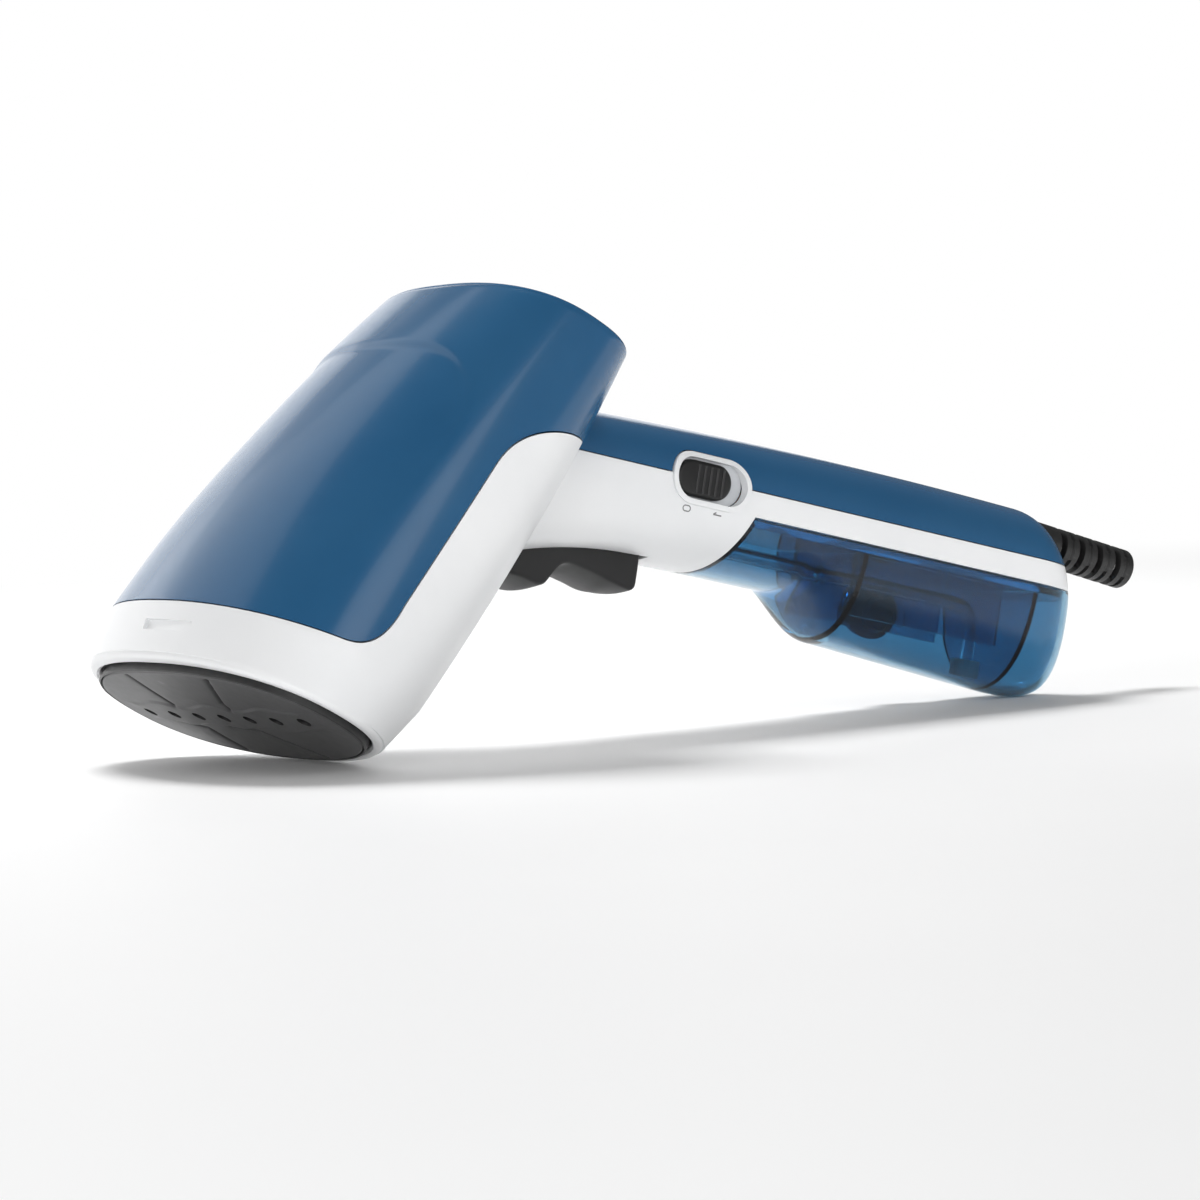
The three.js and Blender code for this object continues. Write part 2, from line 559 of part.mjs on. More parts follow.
function makeHandle() {
  const nearSide = [-30, -15];
  const rimOutline = stadium(SWITCH_RECESS[0] + 2 * SWITCH_RIM, SWITCH_RECESS[1] + 2 * SWITCH_RIM);
  const clearOutline = stadium(
    SWITCH_RECESS[0] + 2 * (SWITCH_RIM + GAP), SWITCH_RECESS[1] + 2 * (SWITCH_RIM + GAP));
  const insideHead = box([-100, NECK_END], [-80, 80], [-20, 160]).transform(HEAD_TO_HANDLE);
  const reliefHole = drooped(cylinder(RELIEF_RADIUS + GAP, RELIEF_START, 200, 'x', [0, 0, 0], 20));
  const outer = handleSolid(0, HANDLE_FRONT);
  const inner = handleSolid(WALL, HANDLE_FRONT - 1);

  const rim = handleSolid(-SWITCH_RIM_PROUD, HANDLE_FRONT, 60).subtract(inner)
    .intersect(slab(rimOutline, nearSide));
  const crossbar = box([3.3, 9.8], [-20, 20], [-24.5, -22]).intersect(outer);
  const ears = [-1, 1].map((side) => box(
    [-20, -12], side > 0 ? [11.6, 14.5] : [-14.5, -11.6], [-35, -27]).intersect(outer));
  const inNeck = (radius, from, to, y) => cylinder(radius, from, to, 'x', [0, y, NECK_SCREW_LEVEL], 12)
    .transform(HEAD_TO_HANDLE);
  const bosses = NECK_SCREW_Y.map((y) => inNeck(3, NECK_END, 45, y).intersect(outer));
  const cut = [
    insideHead,
    slab(stadium(...SWITCH_RECESS), nearSide),
    box([-60, 15.9], [-11.4, 11.4], [-60, -29.9]),
    box([-60, -10.2], [-11.4, 11.4], [-60, -26.8]),
    cylinder(TRIGGER_PIN_RADIUS + 0.35, -15, 15, 'y', [TRIGGER_PIVOT[0], 0, TRIGGER_PIVOT[1]]),
    reliefHole,
    cylinder(5.2, 20, 60, 'x', [0, 0, COUPLING_LEVEL]),
    ...COVER_SCREW_X.map((x) => cylinder(1.8, -40, 0, 'z', [x, 0, 0], 8)),
    ...NECK_SCREW_Y.map((y) => inNeck(1.4, 20, 60, y)),
  ];
  const body = outer.intersect(bodyZone()).subtract(bodyHollow());
  piece(handle, 'handle_body', union([body, rim, crossbar, ...ears, ...bosses])
    .subtract(union(cut)), WHITE);

  const postFoot = TANK_SEAM + WALL + GAP;
  const posts = COVER_SCREW_X.map((x) => cylinder(3.2, postFoot, 0, 'z', [x, 0, 0], 14)
    .intersect(outer));
  const pilots = COVER_SCREW_X.map((x) => cylinder(1.4, -40, -6, 'z', [x, 0, 0], 8));
  const belowSeam = box([FAR_FRONT, FAR_BACK], ACROSS, [-80, COVER_SEAM + GAP]);
  const cover = union([outer.subtract(inner).subtract(belowSeam), ...posts]);
  const coverCuts = union([insideHead, reliefHole, slab(clearOutline, nearSide), ...pilots]);
  piece(handle, 'handle_cover', cover.subtract(coverCuts), BLUE);
  COVER_SCREW_X.forEach((x, k) => {
    const screw = turned(screwProfile(1.1, 1.5, TANK_SEAM + 1.8 + GAP, 9), 12, 'z', [x, 0, 0]);
    piece(handle, `cover_screw_${k + 1}`, screw, STEEL);
  });
}

// ---------------------------------------------------------------- handle: controls
const PLATE_FACE = -18.4;        // y of the switch recess's floor

function makeSwitch() {
  const outline = stadium(SWITCH_RECESS[0] - 2 * GAP, SWITCH_RECESS[1] - 2 * GAP);
  const stemZ = SWITCH_CENTRE[1];
  const slot = box([19.2, 31.4], [-25, -10], [stemZ - 1.3, stemZ + 1.3]);
  piece(handle, 'switch_plate', slab(outline, [PLATE_FACE, PLATE_FACE + 1.4]).subtract(slot), GREY);

  const [length, height] = SLIDER_SIZE;
  const middle = SLIDER_START + length / 2;
  const cap = slab(stadium(length, height, [middle, stemZ]), [-SLIDER_OUT + 0.8, PLATE_FACE - GAP]);
  const crown = slab(stadium(length - 1.6, height - 1.6, [middle, stemZ]),
    [-SLIDER_OUT, 1 - SLIDER_OUT]);
  const stem = box([middle - 3, middle + 3], [PLATE_FACE - 1, -15.4], [stemZ - 1, stemZ + 1]);
  piece(handle, 'switch_slider', union([cap, crown, stem]), BLACK);
  piece(handle, 'switch_body', box([16, 35], [-15, -9.5], [-17.4, -9.6]), DARK);
}

function makeTrigger() {
  const across = [-TRIGGER_HALF_WIDTH, TRIGGER_HALF_WIDTH];
  const [pivotX, pivotZ] = TRIGGER_PIVOT;
  const lever = slab([[-21.5, -29.5], [-25.2, -36], [-29.2, -44.2], [-23.8, -46.6], [-17, -47.9],
    [-13.4, -47.6], [-8.6, -41.6], [-3.9, -42], [4, -43.6], [11, -44.9], [13.6, -44.4],
    [14.5, -42.8], [14.5, -33.6], [-11, -33.4], [-12.6, -28.2], [-19, -27.6]], across, TRIGGER_CROWN);
  const bore = cylinder(TRIGGER_PIN_RADIUS + 0.3, -20, 20, 'y', [pivotX, 0, pivotZ]);
  piece(handle, 'trigger', lever.subtract(bore), BLACK);
  piece(handle, 'trigger_pin',
    cylinder(TRIGGER_PIN_RADIUS, -14, 14, 'y', [pivotX, 0, pivotZ]), STEEL);
  const turns = 4;
  const coil = Array.from({ length: turns * 8 + 1 }, (_, k) => {
    const angle = (k / 8) * 2 * Math.PI;
    return [6.5 + 2.6 * Math.cos(angle), 2.6 * Math.sin(angle), -32.7 + (7.3 * k) / (turns * 8)];
  });
  piece(handle, 'trigger_spring', tubeAlong(coil, 0.45, 0, 32, 4), STEEL);
  piece(handle, 'trigger_switch', box([-10, 2.5], [-3, 3], [-30.6, -24]), BLACK);
}

// ---------------------------------------------------------------- handle: cord end and board
// Moves a piece made along the x axis onto the strain relief's slightly drooping line.
const drooped = (solid) => solid.translate([-RELIEF_DATUM, 0, 0]).rotate([0, RELIEF_DROOP, 0])
  .translate([RELIEF_DATUM, 0, RELIEF_AXIS]);

function makeCordEnd() {
  const tailEnd = RELIEF_START + RELIEF_TAIL_LENGTH;
  const profile = [[RELIEF_BORE, RELIEF_START], [RELIEF_TAIL, RELIEF_START], [RELIEF_TAIL, tailEnd],
    [RELIEF_RADIUS, tailEnd]];
  for (let k = 0; k < 4; k += 1) {
    const x = RELIEF_GROOVE_FROM + RELIEF_GROOVE_PITCH * k;
    profile.push([RELIEF_RADIUS, x], [RELIEF_RADIUS - 1.1, x + 0.3], [RELIEF_RADIUS - 1.1, x + 1.1],
      [RELIEF_RADIUS, x + 1.4]);
  }
  profile.push([RELIEF_RADIUS, RELIEF_END - 0.6], [RELIEF_RADIUS - 0.6, RELIEF_END],
    [RELIEF_BORE, RELIEF_END], [RELIEF_BORE, RELIEF_START]);
  piece(handle, 'strain_relief', drooped(turned(profile, 14, 'x', [0, 0, 0])), BLACK);

  const saddleTop = RELIEF_AXIS - RELIEF_TAIL - GAP;
  const saddle = box([CLAMP_X - 2.5, CLAMP_X + 2.5], [-9, 9], [-17.4, saddleTop]);
  const holes = CLAMP_SCREW_Y.map((y) => cylinder(1.5, -40, 0, 'z', [CLAMP_X, y, 0], 8));
  piece(handle, 'relief_clamp', saddle.subtract(union(holes)), DARK);
  CLAMP_SCREW_Y.forEach((y, k) => {
    const screw = turned(screwProfile(1.1, 2.3, saddleTop + GAP, -3.2), 12, 'z', [CLAMP_X, y, 0]);
    piece(handle, `clamp_screw_${k + 1}`, screw, STEEL);
  });
}

function makeBoard() {
  const holes = cylinder(3.6, -40, 0, 'z', [62, 0, 0], 12);
  piece(handle, 'circuit_board', box([50, 118], [-14, 14], [-12.4, -10.8]).subtract(holes), BOARD);
  piece(handle, 'terminal_block', box([104, 116], [-9, 9], [-10.5, -4.5]), GREY);
  piece(handle, 'pump_driver', box([76, 90], [-6, 6], [-10.5, -4.5]), DARK);
}

function makeCoupling() {
  const cup = [[0, 24], [5, 24], [5, 34.6], [3.5, 34.6], [3.5, 27], [0, 27]];
  const spigot = cylinder(1.6, 20, 24.5, 'x', [0, 0, COUPLING_LEVEL], 8);
  const bore = cylinder(0.9, 5, 30, 'x', [0, 0, COUPLING_LEVEL], 8);
  const body = union([turned(cup, 18, 'x', [0, 0, COUPLING_LEVEL]), spigot]).subtract(bore);
  piece(handle, 'tank_coupling', body, GREY);
  const seal = [[2.4, 27.4], [3.3, 27.4], [3.3, 28.6], [2.4, 28.6], [2.4, 27.4]];
  piece(handle, 'coupling_seal', turned(seal, 16, 'x', [0, 0, COUPLING_LEVEL]), SILICONE);
}

// Hose and leads run from the handle into the head; their ends lie on head pieces.
function makeRuns() {
  const inHandle = (x, y, z) => new THREE.Vector3(x, y, z).applyMatrix4(head.matrix).toArray();
  const level = COUPLING_LEVEL;
  const hose = [[23.6, 0, level], [19.5, 0, level], [15.5, 2.5, -23.5], [11, 5, -18.4], [0, 6, -16.5],
    [-10, INLET_OFFSET, -16], inHandle(43, INLET_OFFSET, 91.5), inHandle(35, INLET_OFFSET, 87.5),
    inHandle(28, INLET_OFFSET, 86), inHandle(21.4, INLET_OFFSET, 86)];
  piece(handle, 'tank_hose', tubeAlong(hose, 3.2, 2.2, 20, 6), TUBE);
  [-1, 1].forEach((side, k) => {
    const y = 1.5 * side - 5.5;
    const route = [[78, y, -13.6], [50, y, -14.6], [30, y + 2, -9], [8, y, -8], [-12, y, -12],
      inHandle(34, y, 82), inHandle(24, y, 66), inHandle(ELEMENT_LEG * side, 22, 54),
      inHandle(ELEMENT_LEG * side, ELEMENT_OPEN_END, 46),
      inHandle(ELEMENT_LEG * side, ELEMENT_OPEN_END, 39)];
    piece(handle, `heater_lead_${k + 1}`, tubeAlong(route, 1, 0, 28, 4), SILICONE);
  });
}

// ---------------------------------------------------------------- water tank
function makeTank() {
  const zone = slab([tankJoint(GAP, TANK_TOP), tankJoint(GAP, -70), [FAR_BACK, -70],
    [FAR_BACK, TANK_TOP]], ACROSS);
  const inner = handleSolid(TANK_WALL, 20);
  const pocket = (from, to) => inner.intersect(
    slab([from(10), from(-70), [to, -70], [to, 10]], ACROSS));
  const upright = (x) => (z) => [x, z];
  const lidSeat = inner.intersect(slab([tankJoint(GAP + TANK_WALL, 10),
    tankJoint(GAP + TANK_WALL, TANK_TOP - LID_THICKNESS - GAP),
    [TANK_BACK, TANK_TOP - LID_THICKNESS - GAP], [TANK_BACK, 10]], ACROSS));
  const [fillX, fillZ] = FILLER_CENTRE;
  const fillAt = [fillX, 0, fillZ];
  const outer = handleSolid(0, 20).intersect(zone);
  const boss = cylinder(FILLER_RADIUS + 1.8, FILLER_SEAT - 2.2, 25, 'y', fillAt, 20).intersect(outer);
  const hollow = union([
    lidSeat,
    pocket((z) => tankJoint(GAP + TANK_WALL, z), BULKHEAD_FRONT - TANK_WALL / 2),
    pocket(upright(BULKHEAD_FRONT + TANK_WALL / 2), BULKHEAD_BACK - TANK_WALL / 2),
    pocket(upright(BULKHEAD_BACK + TANK_WALL / 2), TANK_BACK),
  ]);
  const passages = [
    cylinder(FILLER_RADIUS + 0.4, FILLER_SEAT, 30, 'y', fillAt, 20),
    cylinder(5.2, 10, 30, 'y', fillAt, 16),
    cylinder(2.4, 30, 90, 'x', [0, 0, COUPLING_LEVEL], 12),
  ];
  piece(handle, 'water_tank', outer.subtract(hollow).add(boss).subtract(union(passages)), TANK);

  const lidZone = slab([tankJoint(2 * GAP + TANK_WALL, TANK_TOP - GAP),
    tankJoint(2 * GAP + TANK_WALL, TANK_TOP - LID_THICKNESS),
    [TANK_BACK - GAP, TANK_TOP - LID_THICKNESS], [TANK_BACK - GAP, TANK_TOP - GAP]], ACROSS);
  const plate = handleSolid(TANK_WALL + GAP, 20).intersect(lidZone);
  const baffles = [-1, 1].map((side) => box([BULKHEAD_FRONT + 2, BULKHEAD_BACK - 7],
    BAFFLE_Y.map((y) => y * side).sort((a, b) => a - b), [BAFFLE_FOOT, TANK_TOP - 1]));
  piece(handle, 'tank_lid', union([plate, ...baffles]), TANK);

  const level = COUPLING_LEVEL;
  const route = [[28.9, 0, level], [50, 0, level], [95, 0, level], [124, 0, level], [131, 0, level - 2],
    [133, 0, level - 8], [133, 0, -43]];
  piece(handle, 'pickup_tube', tubeAlong(route, 2, 1.2, 18, 6), TUBE);
  const filter = [[2.3, -42], [4, -42], [4, -46.6], [1.2, -46.6], [1.2, -43.6], [2.3, -43.6],
    [2.3, -42]];
  piece(handle, 'pickup_filter', turned(filter, 16, 'z', [133, 0, 0]), GREY);

  const plug = [[0, 14.6], [4.2, 14.6], [4.9, 15.6], [4.9, FILLER_SEAT + GAP],
    [FILLER_RADIUS, FILLER_SEAT + GAP], [FILLER_RADIUS, 20.4], [FILLER_RADIUS - 0.8, 21], [0, 21.2]];
  const grip = box([fillX - 6, fillX + 6], [20.6, 22.6], [fillZ - 1, fillZ + 1]);
  piece(handle, 'filler_plug', turned(plug, 20, 'y', fillAt).add(grip), BLUE);
}

// ---------------------------------------------------------------- resting place
// Turns the steamer until the head and the tank stand on one level, and centres it there.
function layDown() {
  const lowest = (names) => {
    const point = new THREE.Vector3();
    const low = new THREE.Vector3(0, 0, Infinity);
    steamer.updateMatrixWorld(true);
    steamer.traverse((mesh) => {
      if (!mesh.isMesh || !names.some((name) => mesh.name.startsWith(name))) return;
      for (let k = 0; k < mesh.geometry.attributes.position.count; k += 1) {
        mesh.getVertexPosition(k, point).applyMatrix4(mesh.matrixWorld);
        if (point.z < low.z) low.copy(point);
      }
    });
    return low;
  };
  for (let round = 0; round < 8; round += 1) {
    const front = lowest(['head', 'sole']);
    const back = lowest(['water_tank']);
    handle.rotation.y += Math.atan2(back.z - front.z, back.x - front.x);
  }
  const floor = lowest(['head', 'sole']).z;
  const extent = new THREE.Box3().setFromObject(steamer, true);
  handle.position.set(-(extent.min.x + extent.max.x) / 2, 0, -floor);
  steamer.updateMatrixWorld(true);
}

makeHeadShells();
makeSoleplate();
makeBoiler();
makeChassis();
makePump();
makeHandle();
makeSwitch();
makeTrigger();
makeCordEnd();
makeBoard();
makeCoupling();
makeRuns();
makeTank();
layDown();

export default steamer;
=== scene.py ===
"""Looks of a handheld garment steamer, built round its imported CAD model.

Shapes are made in millimetres in two frames of the object's own, and placed in metres at the end:
  handle  x along the handle towards the cord, y to the far side, z up from the handle's top;
  head    z is the height behind the soleplate's face, x its short way, towards the handle.
"""
import json
import math

import bmesh
import bpy
import numpy as np
from mathutils import Matrix, Vector


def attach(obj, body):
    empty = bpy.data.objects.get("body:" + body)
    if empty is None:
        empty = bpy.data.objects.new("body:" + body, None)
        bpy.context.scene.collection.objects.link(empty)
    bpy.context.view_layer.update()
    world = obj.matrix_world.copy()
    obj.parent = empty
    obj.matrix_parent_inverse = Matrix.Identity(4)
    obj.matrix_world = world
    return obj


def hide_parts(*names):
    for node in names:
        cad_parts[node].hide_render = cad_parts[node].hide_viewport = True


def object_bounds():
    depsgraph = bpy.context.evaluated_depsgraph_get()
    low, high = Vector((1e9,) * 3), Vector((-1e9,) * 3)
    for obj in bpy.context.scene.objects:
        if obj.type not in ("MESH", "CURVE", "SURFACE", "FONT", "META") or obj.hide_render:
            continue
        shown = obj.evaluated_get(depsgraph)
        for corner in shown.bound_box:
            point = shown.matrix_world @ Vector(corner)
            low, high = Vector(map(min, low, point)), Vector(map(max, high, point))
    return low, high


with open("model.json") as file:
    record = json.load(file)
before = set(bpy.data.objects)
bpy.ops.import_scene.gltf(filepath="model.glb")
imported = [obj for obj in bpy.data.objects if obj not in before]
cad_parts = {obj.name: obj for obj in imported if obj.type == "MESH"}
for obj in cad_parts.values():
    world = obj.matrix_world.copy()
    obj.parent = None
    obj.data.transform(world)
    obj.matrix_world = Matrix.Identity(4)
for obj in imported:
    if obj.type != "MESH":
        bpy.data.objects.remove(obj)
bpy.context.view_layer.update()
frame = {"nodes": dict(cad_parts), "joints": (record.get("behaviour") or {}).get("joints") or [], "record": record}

# ------------------------------------------------------------------ the object's two frames
JOINTS = {joint["name"]: joint for joint in frame["joints"]}
PIVOT = (-16, 0, -31)                 # the trigger's pin, handle frame
HEAD_PLACE = (-90.6, 0, -92.3)
HEAD_TILT = math.radians(18.3)

along = Vector(JOINTS["tank_slide"]["axis"]).normalized()
TURN = Matrix.Rotation(math.atan2(-along.z, along.x), 4, "Y")
TO_METRES = Matrix.Scale(0.001, 4)
PIN = Vector(JOINTS["trigger_pull"]["pos_m"]) * 1000
HANDLE = TO_METRES @ Matrix.Translation(PIN) @ TURN @ Matrix.Translation(-Vector(PIVOT))
HEAD_IN_HANDLE = Matrix.Translation(HEAD_PLACE) @ Matrix.Rotation(HEAD_TILT, 4, "Y")
HEAD = HANDLE @ HEAD_IN_HANDLE

# ------------------------------------------------------------------ driving dimensions, mm
GAP = 0.3
WALL = 2.0
TANK_WALL = 1.6

RING_TOP = 16.0
HEAD_TOP = 121.5
BEZEL_FRONT = 1.6
EDGE = 1.4                            # radius of the front ring's rounded edge
HEAD_SIDES = 400
SOLE_HALF = (50.0, 22.8)
SOLE_POWER = 2.33
SOLE_CROWN = 1.0
STEAM_ROW = -0.7
STEAM_PITCH = 12.56
STEAM_RADIUS = 1.8

HANDLE_FRONT = -34.0
HANDLE_END = 159.7
ROUND_FROM = 137.5
HALF_WIDTH = 21.0
WIDEST_LEVEL = -16.5
END_LEVEL = -39.0
SIDE_POWER = 2.3
END_POWERS = (2.0, 3.0)               # above, below
COVER_SEAM = -13.3
TANK_SEAM = -19.8
NECK_BOTTOM = -35.4
NECK_END = 33.4                       # head frame x of the neck's front end
STEP = (62.5, 18.0, 11.0)             # start, length and drop of the tank's step
HEEL_SLOPE = 0.055
TANK_FRONT = (40.7, 34.1)             # x of the joint at the seam and at the neck's bottom
HANDLE_SIDES = 240

SWITCH = (25.6, -13.4)
RECESS = (22.0, 10.8)
RIM = 1.4
RIM_PROUD = 0.6
PLATE_FACE = -18.4
SLIDER_START = 14.9
SLIDER_SIZE = (17.0, 9.2)
SLIDER_OUT = 21.5
TRIGGER_HALF_WIDTH = 11.0

RELIEF = {"datum": 160.0, "level": -6.2, "droop": math.radians(3.3), "radius": 5.55, "bore": 3.4,
          "start": 138.0, "tail": 6.0, "end": 185.4}
RELIEF_SLOTS = (157.8, 6.8)           # first slot and pitch
BULKHEADS = (79.0, 138.2)
BAFFLES = ((12.2, 13.8), -38.0)       # y of the two walls under the lid, and their foot
TANK_TOP = TANK_SEAM - GAP
TANK_BACK = HANDLE_END
COUPLING_LEVEL = -27.5
FILLER = (112.0, -33.4)
FILLER_SEAT = 18.4
FILLER_RADIUS = 8.2

ACROSS = (-40, 40)                    # y range that reaches past the handle on both sides

CAMERA_PLACE = (-528.68, -794.0, -133.33)
CAMERA_RIGHT = (0.81091, -0.56696, 0.14485)
CAMERA_FORWARD = (0.55983, 0.82371, 0.08999)
CAMERA_LENS = 113.2
FLOOR_FADE = (0.35, 1.6)              # radii in metres between which the floor turns white


# ------------------------------------------------------------------ camera
def make_camera():
    """Placed in the handle's frame, so that it keeps its view of the object."""
    turn = HANDLE.to_3x3()
    right = (turn @ Vector(CAMERA_RIGHT)).normalized()
    back = -(turn @ Vector(CAMERA_FORWARD)).normalized()
    up = back.cross(right)
    data = bpy.data.cameras.new("camera")
    data.lens = CAMERA_LENS
    data.sensor_width = 36
    data.clip_start = 0.05
    data.clip_end = 50
    camera = bpy.data.objects.new("camera", data)
    bpy.context.scene.collection.objects.link(camera)
    axes = Matrix((right, up, back)).transposed().to_4x4()
    camera.matrix_world = Matrix.Translation(HANDLE @ Vector(CAMERA_PLACE)) @ axes
    bpy.context.scene.camera = camera


# ------------------------------------------------------------------ mesh making
def new_object(name, verts, faces):
    mesh = bpy.data.meshes.new(name)
    mesh.from_pydata([tuple(v) for v in verts], [], [tuple(f) for f in faces])
    made = bpy.data.objects.new(name, mesh)
    bpy.context.scene.collection.objects.link(made)
    work = bmesh.new()
    work.from_mesh(mesh)
    bmesh.ops.remove_doubles(work, verts=work.verts, dist=1e-4)
    bmesh.ops.recalc_face_normals(work, faces=work.faces)
    work.to_mesh(mesh)
    work.free()
    return made


def band_faces(levels, count, closed):
    """Quads from each ring of points to the next; closed also joins the last to the first."""
    faces = []
    for r in range(levels if closed else levels - 1):
        low, high = r * count, (r + 1) % levels * count
        for k in range(count):
            nxt = (k + 1) % count
            faces.append((low + k, low + nxt, high + nxt, high + k))
    return faces


def loft(rings):
    """Closed solid through rings of equally many points; the last and first are capped flat."""
    rings = [np.asarray(ring, float) for ring in rings]
    count = len(rings[0])
    faces = band_faces(len(rings), count, False)
    faces.append(tuple(range(count - 1, -1, -1)))
    faces.append(tuple(range((len(rings) - 1) * count, len(rings) * count)))
    return new_object("solid", np.concatenate(rings), faces)


def boolean(target, operation, *tools):
    """Cuts or joins exactly, and drops the tools."""
    for tool in tools:
        step = target.modifiers.new("step", "BOOLEAN")
        step.operation = operation
        step.solver = "MANIFOLD"
        step.object = tool
        graph = bpy.context.evaluated_depsgraph_get()
        mesh = bpy.data.meshes.new_from_object(target.evaluated_get(graph))
        target.modifiers.clear()
        target.data = mesh
        bpy.data.objects.remove(tool)
    return target


def cut(target, *tools):
    return boolean(target, "DIFFERENCE", *tools)


def join(target, *tools):
    return boolean(target, "UNION", *tools)


def common(target, *tools):
    return boolean(target, "INTERSECT", *tools)


def copy_of(source):
    made = bpy.data.objects.new(source.name, source.data.copy())
    bpy.context.scene.collection.objects.link(made)
    return made


def moved(target, matrix):
    target.data.transform(matrix)
    return target


def prism(outline, low, high):
    """A side outline in (x, z), filled between two y values."""
    rings = [[(x, y, z) for x, z in outline] for y in (low, high)]
    return loft(rings)


def box(x, y, z):
    return prism([(x[0], z[0]), (x[1], z[0]), (x[1], z[1]), (x[0], z[1])], *y)


def turned(profile, axis, place, sides=64, arc=None):
    """A turned piece from a closed profile of (radius, height); arc limits it to a sector."""
    first, last = arc or (0, 2 * math.pi)
    steps = sides + (1 if arc else 0)
    angles = np.linspace(first, last, steps, endpoint=bool(arc))
    rings = []
    for angle in angles:
        ring = []
        for radius, height in profile:
            a, b = radius * math.cos(angle), radius * math.sin(angle)
            point = {"x": (height, a, b), "y": (b, height, a), "z": (a, b, height)}[axis]
            ring.append(np.array(point) + place)
        rings.append(ring)
    if arc:
        return loft(rings)
    return solid_of_revolution(np.concatenate(rings), band_faces(steps, len(profile), True))


def solid_of_revolution(verts, faces):
    """Welds the profile's points on the axis and drops the faces that vanish there."""
    made = bpy.data.meshes.new("solid")
    made.from_pydata([tuple(v) for v in verts], [], faces)
    work = bmesh.new()
    work.from_mesh(made)
    bmesh.ops.remove_doubles(work, verts=work.verts, dist=1e-4)
    bmesh.ops.dissolve_degenerate(work, edges=work.edges, dist=1e-5)
    bmesh.ops.recalc_face_normals(work, faces=work.faces)
    work.to_mesh(made)
    work.free()
    solid = bpy.data.objects.new("solid", made)
    bpy.context.scene.collection.objects.link(solid)
    return solid


def rod(radius, low, high, axis, place, sides=32):
    return turned([(0, low), (radius, low), (radius, high), (0, high)], axis, place, sides)


def sweep(points, radius, sides=16, steps=120):
    """A round rod along a smooth curve through points."""
    points = np.array(points, float)
    knots = np.concatenate([[0], np.cumsum(np.linalg.norm(np.diff(points, axis=0), axis=1))])
    where = np.linspace(0, knots[-1], steps)
    padded = np.concatenate([[2 * points[0] - points[1]], points, [2 * points[-1] - points[-2]]])
    line = []
    for s in where:
        k = min(np.searchsorted(knots, s, "right") - 1, len(points) - 2)
        t = (s - knots[k]) / (knots[k + 1] - knots[k])
        p0, p1, p2, p3 = padded[k:k + 4]
        line.append(0.5 * (2 * p1 + (p2 - p0) * t + (2 * p0 - 5 * p1 + 4 * p2 - p3) * t * t
                           + (3 * p1 - p0 - 3 * p2 + p3) * t ** 3))
    line = np.array(line)
    tangent = np.gradient(line, axis=0)
    side = np.array([0.0, 1.0, 0.0])
    rings = []
    for p, t in zip(line, tangent):
        t = t / np.linalg.norm(t)
        side = side - t * (side @ t)
        side = side / np.linalg.norm(side)
        other = np.cross(t, side)
        angles = np.arange(sides) * 2 * math.pi / sides
        rings.append([p + radius * (math.cos(a) * side + math.sin(a) * other) for a in angles])
    return loft(rings)


def signed_power(value, power):
    return np.sign(value) * np.abs(value) ** power


def oval(half_a, half_b, power, count):
    angle = (np.arange(count) + 0.5) / count * 2 * math.pi
    a = half_a * signed_power(np.cos(angle), 2 / power)
    b = half_b * signed_power(np.sin(angle), 2 / power)
    return a, b


def smoothstep(value, low, high):
    t = np.clip((value - low) / (high - low), 0, 1)
    return t * t * (3 - 2 * t)


def place(target, name, matrix, body, slot, material, nodes=(), sharp=30):
    """Brings a finished piece into the row frame, and gives it its name, look and body."""
    target.name = name
    target.data.name = name
    target.data.transform(matrix)
    target.data.update()
    target.data.shade_smooth()
    target.data.set_sharp_from_angle(angle=math.radians(sharp))
    target.data.materials.clear()
    target.data.materials.append(material)
    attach(target, body)
    if nodes:
        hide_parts(*nodes)
    return target


# ------------------------------------------------------------------ head
def head_size(height):
    """Half width, half depth and forward lean of the head at a height behind the soleplate."""
    if height < RING_TOP:
        s = (height - BEZEL_FRONT) / (RING_TOP - BEZEL_FRONT)
        return 53.5, 27.7 + 3.9 * s, 2 * s - 0.2
    s = (height - RING_TOP) / (HEAD_TOP - RING_TOP)
    belly = 4 * s * (1 - s)
    return 53.5 - 11.2 * s + 1.1 * belly, 31.6 - 9.6 * s + 3 * belly, 1.8 + 22.1 * s - 0.7 * belly


def head_ring(height, inset, level=None, sides=HEAD_SIDES):
    half_width, half_depth, lean = head_size(height)
    power = 2.22 + 0.33 * (height / HEAD_TOP)
    a, b = oval(half_width - inset, half_depth - inset, power, sides)
    level = height if level is None else level
    return np.stack([lean + b, a, np.full(sides, float(level))], axis=1)


def tongue_recess(ring, lean):
    """Moves the points of a head ring inwards where the shallow tongue is pressed into the top."""
    half_width, reach, middle, power, depth, ramp = 46.3, 60.0, 40.0, 4.8, 0.8, 3.0
    u = np.abs(ring[:, 1]) / half_width
    v = np.maximum(ring[:, 2] - middle, 0) / reach
    total = u ** power + v ** power + 1e-9
    grade = total ** (1 / power - 1)
    slope = np.hypot(grade * u ** (power - 1) / half_width, grade * v ** (power - 1) / reach)
    distance = (total ** (1 / power) - 1) / np.maximum(slope, 1e-4)
    shown = smoothstep(ring[:, 2], 34, 80) * (ring[:, 0] < lean)
    inward = depth * shown * (1 - smoothstep(distance, -ramp, 0))
    outward = ring - [lean, 0, 0]
    outward[:, 2] = 0
    outward[:, 1] *= 0.4
    outward /= np.linalg.norm(outward, axis=1)[:, None]
    return ring - outward * inward[:, None]


